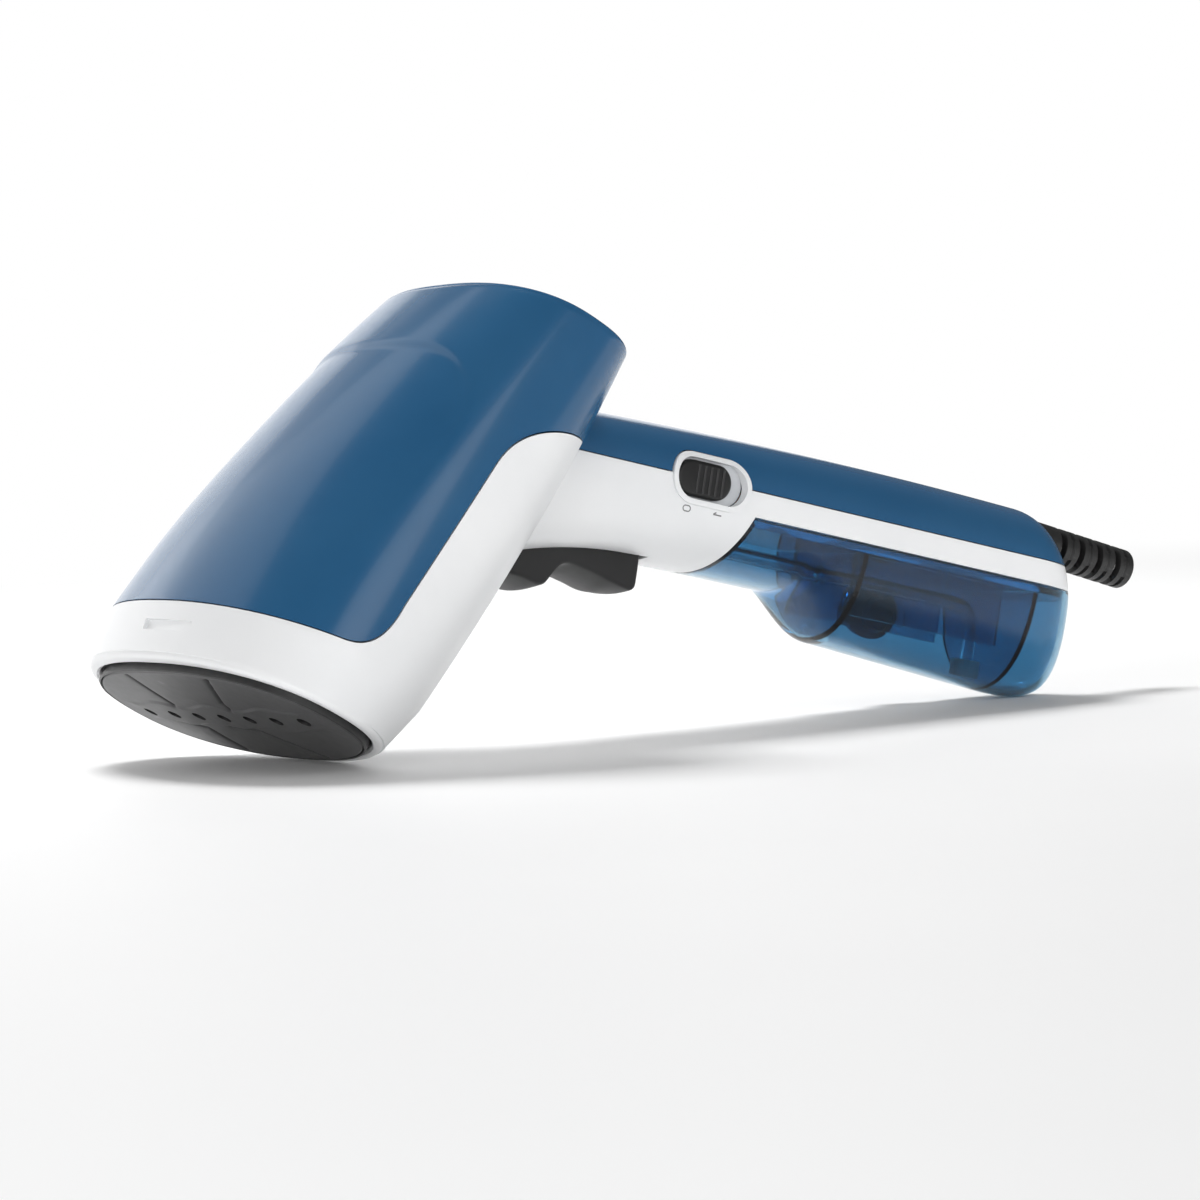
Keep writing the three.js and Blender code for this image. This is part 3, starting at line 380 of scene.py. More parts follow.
def head_solid(inset, start, fine=True, sides=HEAD_SIDES):
    step = 0.8 if fine else 3.0
    rings = []
    if inset == 0:
        for angle in np.linspace(math.pi / 2, 0, 7):
            rings.append(head_ring(BEZEL_FRONT, EDGE * (1 - math.cos(angle)),
                                   BEZEL_FRONT + EDGE * (1 - math.sin(angle)), sides))
        start = BEZEL_FRONT + 1.6
    else:
        rings.append(head_ring(start, inset, sides=sides))
        start += step
    rim = HEAD_TOP - inset
    for height in np.arange(start, rim - 1, step):
        ring = head_ring(height, inset, sides=sides)
        if inset == 0:
            ring = tongue_recess(ring, head_size(height)[2])
        rings.append(ring)
    for angle in np.linspace(0, math.pi / 2, 7):
        rings.append(head_ring(HEAD_TOP, inset + 1 - math.cos(angle), rim - 1 + math.sin(angle),
                               sides))
    for reach in (2, 3.5, 5.5, 8, 11, 14, 17, 19.5):
        rise = 3 * (1 - (1 - (reach - 1) / 20) ** 2)
        rings.append(head_ring(HEAD_TOP, inset + reach - (0.5 if inset else 0), rim + rise, sides))
    return loft(rings)


def bezier(points, count=24):
    """Points on a quadratic or cubic Bezier curve, without its first point."""
    points = np.array(points, float)
    made = []
    for t in np.linspace(0, 1, count + 1)[1:]:
        level = points
        while len(level) > 1:
            level = level[:-1] * (1 - t) + level[1:] * t
        made.append(tuple(level[0]))
    return made


def lower_head_zone(shift):
    """Everything on the white side of the seam: front ring, side panels and underside."""
    outline = [(-70, -10), (-70, 12), (-8, 17.7)]
    outline += bezier([(-8, 17.7), (1.2, 18.6), (2.6, 32)])
    outline += [(11.2, 74)]
    outline += bezier([(11.2, 74), (13.2, 84.5), (22, 91.5), (38, 95.3)])
    outline += [(70, 99), (70, -10)]
    return prism([(x + shift, z - shift) for x, z in outline], -70, 70)


def oval_ring(half, z, count=240):
    a, b = oval(*half, SOLE_POWER, count)
    return np.stack([b, a, np.full(count, float(z))], axis=1)


def oval_disc(half, low, high):
    return loft([oval_ring(half, low), oval_ring(half, high)])


def make_head(blue, white):
    inside = head_solid(WALL + 0.2, 5, fine=False)
    mouth = oval_disc((50.9, 23.7), -5, 8)
    flare = loft([oval_ring((50.9 + grow, 23.7 + grow), z) for grow, z in
                  ((1.5, 0.8), (0.85, BEZEL_FRONT + 0.1), (0.35, 2.1), (0.0, 3.0), (-0.2, 3.4))])
    neck = moved(handle_solid(-GAP, HANDLE_FRONT, 30, coarse=True), HEAD_IN_HANDLE.inverted())
    shell = cut(head_solid(0, BEZEL_FRONT), inside, mouth, flare, neck)
    lower = common(copy_of(shell), lower_head_zone(GAP / 2))
    top = cut(shell, lower_head_zone(-GAP / 2))
    cut(lower, accessory_notch())
    place(top, "head_top", HEAD, "root", "blue_plastic", blue, ["head_top_shell"])
    place(lower, "head_lower", HEAD, "root", "white_plastic", white, ["head_lower_shell"])


def accessory_notch():
    """Shallow slot in the front ring, with a floor that rises to the surface at one end."""
    middle, deep_end, shallow_end, depth = 9.7, 3.0, -18.0, 0.9
    ring = head_ring(middle, 0)
    front = ring[ring[:, 0] < head_size(middle)[2]]
    front = front[np.argsort(front[:, 1])]
    across = np.linspace(shallow_end, deep_end, 16)
    share = (across - shallow_end) / (deep_end - shallow_end)
    floor = np.interp(across, front[:, 1], front[:, 0]) + depth * share
    outline = [*zip(floor, across), (-40, deep_end), (-40, shallow_end)]
    return loft([[(x, y, z) for x, y in outline] for z in (middle - 1.3, middle + 1.3)])


# ------------------------------------------------------------------ soleplate
GROOVES = (
    ((-26, 17.5), (-5.5, 18.0)),
    ((-26, -26.5), (-8.0, -10.0), (-4.6, -9.0)),
    ((4.4, 31.0), (7.0, 20.5), (26, 22.5)),
    ((4.6, 6.0), (6.4, -6.0), (26, -20.0)),
)


def groove_distance(x, y, line):
    """Distance of points to a broken line."""
    best = np.full(x.shape, 1e9)
    for (ax, ay), (bx, by) in zip(line[:-1], line[1:]):
        dx, dy = bx - ax, by - ay
        t = np.clip(((x - ax) * dx + (y - ay) * dy) / (dx * dx + dy * dy), 0, 1)
        best = np.minimum(best, np.hypot(x - ax - t * dx, y - ay - t * dy))
    return best


def sole_relief(x, y):
    """Height of the plate's relief: a raised middle band with grooves running out from it."""
    wave = 5.0 + 1.1 * np.cos(y / 13.0 * math.pi)       # half width of the band
    band = 0.4 * (1 - smoothstep(np.abs(x - STEAM_ROW), wave - 0.7, wave + 0.7))
    band *= 1 - smoothstep(np.abs(y), 36, 46)
    depth = np.zeros(x.shape)
    for line in GROOVES:
        d = groove_distance(x, y, line)
        depth = np.maximum(depth, 0.7 * np.exp(-(d / 0.5) ** 2) + 0.15 * np.exp(-(d / 1.6) ** 2))
    return band - depth


def make_soleplate(coating, ring_plastic):
    """The grey plate, seen inside the black collar that carries it."""
    count = 480
    half = (SOLE_HALF[0] - 0.35, SOLE_HALF[1] - 0.35)
    rings = [oval_ring((half[0] - 0.3, half[1] - 0.3), 2.2, count)]
    for inset, z in ((0, 1.9), (0, 0.35), (0.12, 0.12), (0.4, 0.0)):
        rings.append(oval_ring((half[0] - inset, half[1] - inset), z, count))
    for scale in np.linspace(0.98, 0.01, 150):
        ring = oval_ring((half[0] * scale, half[1] * scale), 0, count)
        relief = sole_relief(ring[:, 0], ring[:, 1]) * smoothstep(scale, 0.985, 0.93)
        ring[:, 2] = np.maximum(-SOLE_CROWN, -SOLE_CROWN * (1 - scale ** 2) * 0.7 - relief)
        rings.append(ring)
    plate = loft(rings)
    holes = [rod(STEAM_RADIUS + 0.1, -3, 5, "z", (STEAM_ROW, k * STEAM_PITCH, 0), 32)
             for k in range(-3, 4)]
    cut(plate, *holes)
    place(plate, "soleplate_face", HEAD, "root", "sole_coating", coating, ["soleplate"], sharp=45)

    profile = ((-0.15, 3.0), (-0.15, 0.3), (0.0, 0.05), (0.25, 0.05), (0.5, 0.3), (0.5, 5.0),
               (-1.0, 6.0), (-1.0, 9.6), (-3.6, 9.6), (-3.6, 3.0))
    rings = [oval_ring((SOLE_HALF[0] + grow, SOLE_HALF[1] + grow), z) for grow, z in profile]
    place(closed_band(rings), "soleplate_collar", HEAD, "root", "ring_plastic", ring_plastic,
          ["soleplate_ring"], sharp=40)


def closed_band(rings):
    """A hollow ring: its section's points, each carried round, closed on themselves."""
    faces = band_faces(len(rings), len(rings[0]), True)
    return new_object("band", np.concatenate(rings), faces)


# ------------------------------------------------------------------ handle
def handle_top(x):
    return 6.8 * (x / 160) - 6.2 * (x / 160) ** 2


def handle_bottom(x):
    drop = smoothstep(x, STEP[0], STEP[0] + STEP[1])
    heel = HEEL_SLOPE * max(0, x - STEP[0] - STEP[1])
    flare = 4.6 * (max(0, 12 - x) / 33) ** 2
    return NECK_BOTTOM - STEP[2] * drop - heel - flare


def handle_ring(x, inset, share=0.0, sides=HANDLE_SIDES):
    """Section of the handle; share is how far it is into the rounded end, 0 to 1."""
    def shrink(z, power):
        return END_LEVEL + (z - END_LEVEL) * (1 - share ** power) ** (1 / power)
    flat = 1.2 * (1 - smoothstep(x, 8, 32))
    level = shrink(WIDEST_LEVEL, END_POWERS[0])
    up = shrink(handle_top(x) - inset, END_POWERS[0]) - level
    down = level - shrink(handle_bottom(x) + inset, END_POWERS[1])
    half_width = (HALF_WIDTH - inset) * (1 - share ** SIDE_POWER) ** (1 / SIDE_POWER)
    a, above = oval(half_width, up, SIDE_POWER, sides)
    a_below, below = oval(half_width, down, SIDE_POWER + flat, sides)
    y = np.where(above > 0, a, a_below)
    z = level + np.where(above > 0, above, below)
    return np.stack([np.full(sides, float(x)), y, z], axis=1)


def handle_solid(inset, start, stop=HANDLE_END, coarse=False):
    sides = 96 if coarse else HANDLE_SIDES
    reach = HANDLE_END - inset - ROUND_FROM
    stations = np.arange(start, min(stop, ROUND_FROM), 4.0 if coarse else 1.0)
    rings = [handle_ring(x, inset, sides=sides) for x in stations]
    if stop < HANDLE_END:
        rings.append(handle_ring(stop, inset, sides=sides))
        return loft(rings)
    for turn in np.linspace(0, 0.985, 14 if coarse else 44):
        share = math.sin(turn * math.pi / 2) ** (2 / 2.4)
        rings.append(handle_ring(ROUND_FROM + share * reach, inset, share, sides))
    return loft(rings)


def tank_joint(shift, z):
    lean = (TANK_FRONT[0] - TANK_FRONT[1]) / (TANK_SEAM - NECK_BOTTOM)
    return TANK_FRONT[0] + shift + lean * (z - TANK_SEAM), z


def stadium(length, height, centre=SWITCH, count=24):
    """A round-ended outline in (x, z)."""
    radius, half = height / 2, length / 2 - height / 2
    angles = np.linspace(-math.pi / 2, math.pi / 2, count)
    right = [(centre[0] + half + radius * math.cos(t), centre[1] + radius * math.sin(t))
             for t in angles]
    left = [(centre[0] - half - radius * math.cos(t), centre[1] - radius * math.sin(t))
            for t in angles]
    return right + left


def relief_turn(target):
    """Moves a piece made along the x axis onto the strain relief's drooping line."""
    shift = Matrix.Translation((RELIEF["datum"], 0, RELIEF["level"]))
    back = Matrix.Translation((-RELIEF["datum"], 0, 0))
    return moved(target, shift @ Matrix.Rotation(RELIEF["droop"], 4, "Y") @ back)


def inside_head():
    return moved(box((-100, NECK_END), (-80, 80), (-20, 160)), HEAD_IN_HANDLE)


def relief_hole():
    return relief_turn(rod(RELIEF["radius"] + GAP, RELIEF["start"], 200, "x", (0, 0, 0), 48))


def make_handle(blue, white):
    near = (-30, -15)
    hollow = prism([(-90, 10), (-90, -50), tank_joint(-WALL, -50), tank_joint(-WALL, -17.8),
                    (200, -17.8), (200, 10)], *ACROSS)
    hollow = common(hollow, handle_solid(WALL, HANDLE_FRONT - 1))
    zone = prism([(-90, COVER_SEAM), (-90, -50), tank_joint(0, -50), tank_joint(0, TANK_SEAM),
                  (200, TANK_SEAM), (200, COVER_SEAM)], *ACROSS)
    body = cut(common(handle_solid(0, HANDLE_FRONT), zone), hollow)
    rim = handle_solid(-RIM_PROUD, HANDLE_FRONT, 60)
    cut(rim, handle_solid(WALL, HANDLE_FRONT - 1))
    common(rim, prism(stadium(RECESS[0] + 2 * RIM, RECESS[1] + 2 * RIM), *near))
    bevel_edges(rim, 0.35, 3, 50)
    ears = [common(box((-20, -12), side, (-35, -27)), handle_solid(0, HANDLE_FRONT, 60, True))
            for side in ((-14.5, -11.6), (11.6, 14.5))]
    join(body, rim, *ears)
    cut(body, inside_head(), prism(stadium(*RECESS), *near),
        box((-60, 15.9), (-11.4, 11.4), (-60, -29.9)),
        box((-60, -10.2), (-11.4, 11.4), (-60, -26.8)),
        rod(1.85, -15, 15, "y", PIVOT), relief_hole(),
        rod(5.2, 20, 60, "x", (0, 0, COUPLING_LEVEL)))
    place(body, "handle_lower", HANDLE, "root", "white_plastic", white, ["handle_body"])

    cover = handle_solid(0, HANDLE_FRONT)
    cut(cover, handle_solid(WALL, HANDLE_FRONT - 1), inside_head(), relief_hole(),
        box((-90, 200), ACROSS, (-80, COVER_SEAM + GAP)),
        prism(stadium(RECESS[0] + 2 * (RIM + GAP), RECESS[1] + 2 * (RIM + GAP)), *near))
    place(cover, "handle_upper", HANDLE, "root", "blue_plastic", blue, ["handle_cover"])


def bevel_edges(target, width, segments, angle):
    step = target.modifiers.new("edges", "BEVEL")
    step.width = width
    step.segments = segments
    step.limit_method = "ANGLE"
    step.angle_limit = math.radians(angle)
    step.use_clamp_overlap = True
    graph = bpy.context.evaluated_depsgraph_get()
    mesh = bpy.data.meshes.new_from_object(target.evaluated_get(graph))
    target.modifiers.clear()
    target.data = mesh
    return target


# ------------------------------------------------------------------ controls
def rounded_slab(outline, out, back, radius, steps=6):
    """An outline in (x, z) raised towards the viewer's side, with its front edge rounded."""
    outline = np.array(outline, float)
    centre = outline.mean(axis=0)
    tangent = np.roll(outline, -1, 0) - np.roll(outline, 1, 0)
    normal = np.stack([tangent[:, 1], -tangent[:, 0]], axis=1)
    normal /= np.linalg.norm(normal, axis=1)[:, None]
    if ((outline - centre) * normal).sum() < 0:
        normal = -normal
    rings = [np.stack([outline[:, 0], np.full(len(outline), back), outline[:, 1]], axis=1)]
    for angle in np.linspace(0, math.pi / 2, steps):
        inner = outline - normal * radius * (1 - math.cos(angle))
        y = out + radius * (1 - math.sin(angle))
        rings.append(np.stack([inner[:, 0], np.full(len(outline), y), inner[:, 1]], axis=1))
    return loft(rings)


def make_switch(black, grey, ink):
    middle = (SLIDER_START + SLIDER_SIZE[0] / 2, SWITCH[1])
    cap = rounded_slab(stadium(*SLIDER_SIZE, middle), -SLIDER_OUT + 0.35, PLATE_FACE - GAP, 1.0)
    for k in range(5):
        x = SLIDER_START + 6.0 + 1.95 * k
        profile = [(x + 0.36 * math.cos(t), -SLIDER_OUT + 0.4 - 0.36 * math.sin(t))
                   for t in np.linspace(0, math.pi, 9)]
        rings = [[(px, py, middle[1] + z) for px, py in profile] for z in (-3.6, 3.6)]
        join(cap, loft(rings))
    stem = box((middle[0] - 3, middle[0] + 3), (PLATE_FACE - 1, -15.4),
               (SWITCH[1] - 1, SWITCH[1] + 1))
    join(cap, stem)
    place(cap, "slider_button", HANDLE, "slider", "black_plastic", black, ["switch_slider"])

    floor = stadium(RECESS[0] - 0.06, RECESS[1] - 0.06)
    plate = prism(floor, PLATE_FACE, PLATE_FACE + 1.4)
    cut(plate, box((19.2, 31.4), (-25, -10), (SWITCH[1] - 1.3, SWITCH[1] + 1.3)))
    place(plate, "switch_floor", HANDLE, "root", "grey_plastic", grey, ["switch_plate"])
    make_digits(ink)


def make_digits(ink):
    """0 and 1 beside the switch's two positions, lying on their sides."""
    skin = cut(handle_solid(-0.035, 5, 45), handle_solid(0.15, 4, 46))
    near = (-30, -12)
    nought = cut(prism(stadium(2.6, 1.75, (18.9, -21.5)), *near),
                 prism(stadium(2.0, 1.15, (18.9, -21.5)), -31, -11))
    one = join(box((27.5, 30.1), near, (-21.65, -21.3)),
               prism([(27.5, -21.65), (27.5, -21.2), (28.25, -20.75), (28.45, -21.0)], *near))
    digits = common(join(nought, one), skin)
    place(digits, "switch_digits", HANDLE, "root", "grey_plastic", ink)


def trigger_outline():
    """Side outline of the lever in (x, z); its underside points are marked True."""
    top = [(-12.6, -28.2), (-19, -27.6), (-21.5, -29.5), (-25.2, -36), (-28.6, -42.6)]
    under = bezier([(-28.6, -42.6), (-27.6, -45.1), (-23.5, -45.6)], 8)
    under += bezier([(-23.5, -45.6), (-19, -45.9), (-15.8, -46.8)], 8)
    under += bezier([(-15.8, -46.8), (-13.9, -47.3), (-12.9, -45.8)], 6)
    under += bezier([(-12.9, -45.8), (-11.9, -44.2), (-10.7, -42.6)], 6)
    under += bezier([(-10.7, -42.6), (-8.9, -39.8), (-5.4, -39.9)], 10)
    under += bezier([(-5.4, -39.9), (-1.7, -40.4), (3.4, -41.5)], 8)
    under += bezier([(3.4, -41.5), (7.1, -42.5), (10.8, -43.4)], 8)
    under += bezier([(10.8, -43.4), (13.9, -44.2), (13.9, -41.6)], 10)
    back = [(13.9, -38.0), (13.8, -34.6)] + bezier([(13.8, -34.6), (13.7, -33.6), (12.7, -33.6)], 4)
    back += [(6.0, -33.5), (-6.0, -33.4), (-11.0, -33.4)]
    points = top + under + back
    marks = [False] * len(top) + [True] * len(under) + [False] * len(back)
    return np.array(points), np.array(marks)


def trigger_belly(x):
    """How far the underside bulges at the middle of the lever: one crown on each lobe."""
    front = 2.7 * smoothstep(x, -29, -24) * (1 - smoothstep(x, -18, -11.5))
    rear = 3.0 * smoothstep(x, -10.8, -5.0) * (1 - 0.6 * smoothstep(x, 5, 13))
    return front + rear * (1 - smoothstep(x, 12.6, 14.2))


def make_trigger(plastic):
    points, under = trigger_outline()
    tangent = np.roll(points, -1, 0) - np.roll(points, 1, 0)
    normal = np.stack([tangent[:, 1], -tangent[:, 0]], axis=1)
    normal /= np.linalg.norm(normal, axis=1)[:, None]
    area = np.sum(points[:, 0] * np.roll(points[:, 1], -1) - np.roll(points[:, 0], -1) * points[:, 1])
    normal *= np.sign(area)
    half, radius = TRIGGER_HALF_WIDTH, 0.9
    stations = [(-half + radius * (1 - math.sin(t)), radius * (1 - math.cos(t)))
                for t in np.linspace(math.pi / 2, 0, 7)]
    ends = list(stations)
    stations += [(y, 0) for y in np.linspace(-half + radius, half - radius, 41)[1:-1]]
    stations += [(-y, inset) for y, inset in ends[::-1]]
    rings = []
    for y, inset in stations:
        ring = points - normal * inset
        belly = trigger_belly(ring[:, 0]) * (1 - (abs(y) / half) ** 2.2)
        ring[:, 1] -= np.where(under, belly, 0)
        rings.append(np.stack([ring[:, 0], np.full(len(ring), y), ring[:, 1]], axis=1))
    lever = loft(rings)
    cut(lever, rod(1.8, -20, 20, "y", PIVOT))
    place(lever, "trigger_lever", HANDLE, "trigger", "trigger_plastic", plastic, ["trigger"],
          sharp=50)


# ------------------------------------------------------------------ strain relief
def make_relief(rubber):
    """A sleeve of soft rings, held together by bridges that turn a quarter from slot to slot."""
    radius, bore = RELIEF["radius"], RELIEF["bore"]
    tail, tail_end = 4.4, RELIEF["start"] + RELIEF["tail"]
    first, pitch = RELIEF_SLOTS
    profile = [(bore, RELIEF["start"]), (tail, RELIEF["start"]), (tail, tail_end),
               (radius - 0.3, tail_end), (radius, tail_end + 0.3)]
    for k in range(8):
        x = first + pitch / 2 * k
        depth, half = (1.3, 1.05) if k % 2 == 0 else (0.2, 0.6)
        profile += [(radius - depth * math.sin(t), x + 0.85 - half * math.cos(t))
                    for t in np.linspace(0, math.pi, 9)]
    end = RELIEF["end"]
    profile += [(radius - 0.7 + 0.7 * math.cos(t), end - 0.7 + 0.7 * math.sin(t))
                for t in np.linspace(0, math.pi / 2, 6)]
    profile += [(bore + 0.3, end), (bore, end - 0.3)]
    sleeve = turned(profile, "x", (0, 0, 0), 72)
    for k in range(8):
        x = first + (0 if k % 2 == 0 else 0.2) + pitch / 2 * k
        width = 1.7 if k % 2 == 0 else 1.3
        for side in (0, math.pi):
            middle = side + (0 if k % 2 == 0 else math.pi / 2)
            arc = (middle - 1.0, middle + 1.0)
            slot = [(bore - 1.5, x), (radius + 1, x), (radius + 1, x + width),
                    (bore - 1.5, x + width)]
            cut(sleeve, turned(slot, "x", (0, 0, 0), 28, arc))
    relief_turn(sleeve)
    place(sleeve, "relief_sleeve", HANDLE, "root", "relief_rubber", rubber, ["strain_relief"],
          sharp=40)


# ------------------------------------------------------------------ water tank
def make_tank(clear, tube, blue):
    zone = prism([tank_joint(GAP, TANK_TOP), tank_joint(GAP, -70), (200, -70), (200, TANK_TOP)],
                 *ACROSS)
    outer = common(handle_solid(0, 20), zone)
    inner = handle_solid(TANK_WALL, 20)
    split = BULKHEADS[0] - TANK_WALL / 2, BULKHEADS[0] + TANK_WALL / 2
    rear = BULKHEADS[1] - TANK_WALL / 2, BULKHEADS[1] + TANK_WALL / 2
    shelf = TANK_TOP - 2 - GAP
    front_wall = GAP + TANK_WALL
    spaces = [
        [tank_joint(front_wall, 10), tank_joint(front_wall, shelf), (TANK_BACK, shelf),
         (TANK_BACK, 10)],
        [tank_joint(front_wall, shelf + 1), tank_joint(front_wall, -70), (split[0], -70),
         (split[0], shelf + 1)],
        [(split[1], shelf + 1), (split[1], -70), (rear[0], -70), (rear[0], shelf + 1)],
        [(rear[1], shelf + 1), (rear[1], -70), (TANK_BACK, -70), (TANK_BACK, shelf + 1)],
    ]
    hollow = prism(spaces[0], *ACROSS)
    join(hollow, *[prism(space, *ACROSS) for space in spaces[1:]])
    common(hollow, inner)
    fill_at = (FILLER[0], 0, FILLER[1])
    boss = common(rod(FILLER_RADIUS + 1.8, FILLER_SEAT - 2.2, 25, "y", fill_at, 64),
                  handle_solid(0, 60, 150, True))
    tank = join(cut(outer, hollow), boss)
    cut(tank, rod(FILLER_RADIUS + 0.4, FILLER_SEAT, 30, "y", fill_at, 64),
        rod(5.2, 10, 30, "y", fill_at, 48), rod(2.4, 30, 90, "x", (0, 0, COUPLING_LEVEL)))
    place(tank, "tank_shell", HANDLE, "tank", "tank_plastic", clear, ["water_tank"], sharp=35)

    lid_front = 2 * GAP + TANK_WALL
    lid = prism([tank_joint(lid_front, TANK_TOP - GAP), tank_joint(lid_front, TANK_TOP - 2),
                 (TANK_BACK - GAP, TANK_TOP - 2), (TANK_BACK - GAP, TANK_TOP - GAP)], *ACROSS)
    common(lid, handle_solid(TANK_WALL + GAP, 20))
    across, foot = BAFFLES
    for side in (-1, 1):
        y = sorted(side * value for value in across)
        join(lid, box((BULKHEADS[0] + 2, BULKHEADS[1] - 7), y, (foot, TANK_TOP - 1)))
    place(lid, "tank_roof", HANDLE, "tank", "tank_plastic", clear, ["tank_lid"])

    level = COUPLING_LEVEL
    route = [(28.9, 0, level), (50, 0, level), (95, 0, level), (124, 0, level), (131, 0, level - 2),
             (133, 0, level - 8), (133, 0, -43)]
    pipe = cut(sweep(route, 2.0), sweep([(27, 0, level), *route[1:-1], (133, 0, -45)], 1.2))
    place(pipe, "tank_pipe", HANDLE, "tank", "clear_tube", tube, ["pickup_tube"])

    plug = [(0, 14.6), (4.2, 14.6), (4.9, 15.6), (4.9, FILLER_SEAT + GAP),
            (FILLER_RADIUS, FILLER_SEAT + GAP)]
    plug += [(FILLER_RADIUS - 0.8 + 0.8 * math.cos(t), 20.4 + 0.6 * math.sin(t))
             for t in np.linspace(0, math.pi / 2, 6)]
    plug += [(0, 21.2)]
    cap = turned(plug, "y", fill_at, 64)
    grip = stadium(12, 2, FILLER)
    join(cap, prism(grip, 20.6, 22.6))
    bevel_edges(cap, 0.25, 2, 40)
    place(cap, "filler_cap", HANDLE, "plug", "blue_plastic", blue, ["filler_plug"])


# ------------------------------------------------------------------ materials
def material(name, build):
    made = bpy.data.materials.new(name)
    made.use_nodes = True
    nodes = made.node_tree.nodes
    nodes.clear()
    shader = nodes.new("ShaderNodeBsdfPrincipled")
    out = nodes.new("ShaderNodeOutputMaterial")
    made.node_tree.links.new(shader.outputs[0], out.inputs[0])
    build(made.node_tree, shader)
    return made


def noise(tree, scale, detail=4.0, rough=0.5):
    """Noise in the object's own coordinates, in metres."""
    where = tree.nodes.new("ShaderNodeTexCoord")
    made = tree.nodes.new("ShaderNodeTexNoise")
    made.inputs["Scale"].default_value = scale
    made.inputs["Detail"].default_value = detail
    made.inputs["Roughness"].default_value = rough
    tree.links.new(where.outputs["Object"], made.inputs["Vector"])
    return made.outputs["Fac"]


def ramp(tree, source, low, high, start, stop):
    """Maps a factor between two colours or two numbers."""
    made = tree.nodes.new("ShaderNodeValToRGB")
    first, last = made.color_ramp.elements
    first.position, last.position = start, stop
    first.color = low if len(low) == 4 else (*low, 1)
    last.color = high if len(high) == 4 else (*high, 1)
    tree.links.new(source, made.inputs["Fac"])
    return made.outputs["Color"]


def spread(tree, source, low, high):
    made = tree.nodes.new("ShaderNodeMapRange")
    made.inputs["To Min"].default_value = low
    made.inputs["To Max"].default_value = high
    tree.links.new(source, made.inputs["Value"])
    return made.outputs["Result"]


def mix(tree, factor, first, second):
    made = tree.nodes.new("ShaderNodeMix")
    made.data_type = "RGBA"
    tree.links.new(factor, made.inputs["Factor"])
    for socket, value in ((made.inputs["A"], first), (made.inputs["B"], second)):
        if isinstance(value, tuple):
            socket.default_value = (*value, 1)
        else:
            tree.links.new(value, socket)
    return made.outputs["Result"]


def bump(tree, shader, source, strength, distance):
    made = tree.nodes.new("ShaderNodeBump")
    made.inputs["Strength"].default_value = strength
    made.inputs["Distance"].default_value = distance
    tree.links.new(source, made.inputs["Height"])
    tree.links.new(made.outputs["Normal"], shader.inputs["Normal"])


def worn_edges(tree, colour, worn, amount):
    """Convex edges are a little paler, where hands and tables have rubbed them."""
    shape = tree.nodes.new("ShaderNodeNewGeometry")
    edge = tree.nodes.new("ShaderNodeMapRange")
    edge.inputs["From Min"].default_value = 0.53
    edge.inputs["From Max"].default_value = 0.62
    edge.inputs["To Max"].default_value = amount
    tree.links.new(shape.outputs["Pointiness"], edge.inputs["Value"])
    patchy = tree.nodes.new("ShaderNodeMath")
    patchy.operation = "MULTIPLY"
    tree.links.new(edge.outputs["Result"], patchy.inputs[0])
    tree.links.new(noise(tree, 260, 5, 0.7), patchy.inputs[1])
    return mix(tree, patchy.outputs[0], colour, worn)


def painted_crevice_shade(tree, colour, reach):
    """Painted shade: the surface darkens where it closes in on itself, in grooves and holes."""
    closed = tree.nodes.new("ShaderNodeAmbientOcclusion")
    closed.inputs["Distance"].default_value = reach
    closed.only_local = True
    closed.samples = 8
    edge = tree.nodes.new("ShaderNodeMapRange")
    edge.inputs["From Min"].default_value = 0.45
    edge.inputs["From Max"].default_value = 0.95
    tree.links.new(closed.outputs["AO"], edge.inputs["Value"])
    # painted shade: mixed towards near black where the occlusion is strong
    return mix(tree, edge.outputs["Result"], (0.003, 0.003, 0.003), colour)


def plastic(name, dark, light, roughness, grain=0.008, coat=0.0, wear=0.35, metallic=0.0,
            grain_scale=2600.0, reach=0.0):
    """Moulded plastic: faint flow marks in colour and gloss, fine grain, rubbed edges; with reach, painted shade
    in grooves and holes.
    """
    def build(tree, shader):
        broad = noise(tree, 22, 3)
        fine = noise(tree, 340, 5, 0.65)
        colour = ramp(tree, broad, dark, light, 0.3, 0.7)
        worn = tuple(min(1.0, 0.25 + c * 0.9) for c in light)
        colour = worn_edges(tree, colour, worn, wear)
        # painted shade darkens grooves and holes, out to reach metres
        if reach:
            colour = painted_crevice_shade(tree, colour, reach)
        tree.links.new(colour, shader.inputs["Base Color"])
        tree.links.new(spread(tree, fine, roughness - 0.05, roughness + 0.07),
                       shader.inputs["Roughness"])
        bump(tree, shader, noise(tree, grain_scale, 2), grain, 0.0001)
        shader.inputs["Metallic"].default_value = metallic
        shader.inputs["Coat Weight"].default_value = coat
        shader.inputs["Coat Roughness"].default_value = 0.08
        shader.inputs["IOR"].default_value = 1.5
    return material(name, build)


def clear_plastic(name, tint, deep, roughness=0.0):
    """Clear tinted plastic with faint scuffs."""
    def build(tree, shader):
        tree.links.new(ramp(tree, noise(tree, 30, 3), deep, tint, 0.35, 0.65),
                       shader.inputs["Base Color"])
        scuffs = noise(tree, 420, 6, 0.7)
        tree.links.new(spread(tree, scuffs, roughness, roughness + 0.008),
                       shader.inputs["Roughness"])
        bump(tree, shader, noise(tree, 60, 2), 0.004, 0.0003)
        shader.inputs["Transmission Weight"].default_value = 1.0
        shader.inputs["IOR"].default_value = 1.46
    return material(name, build)


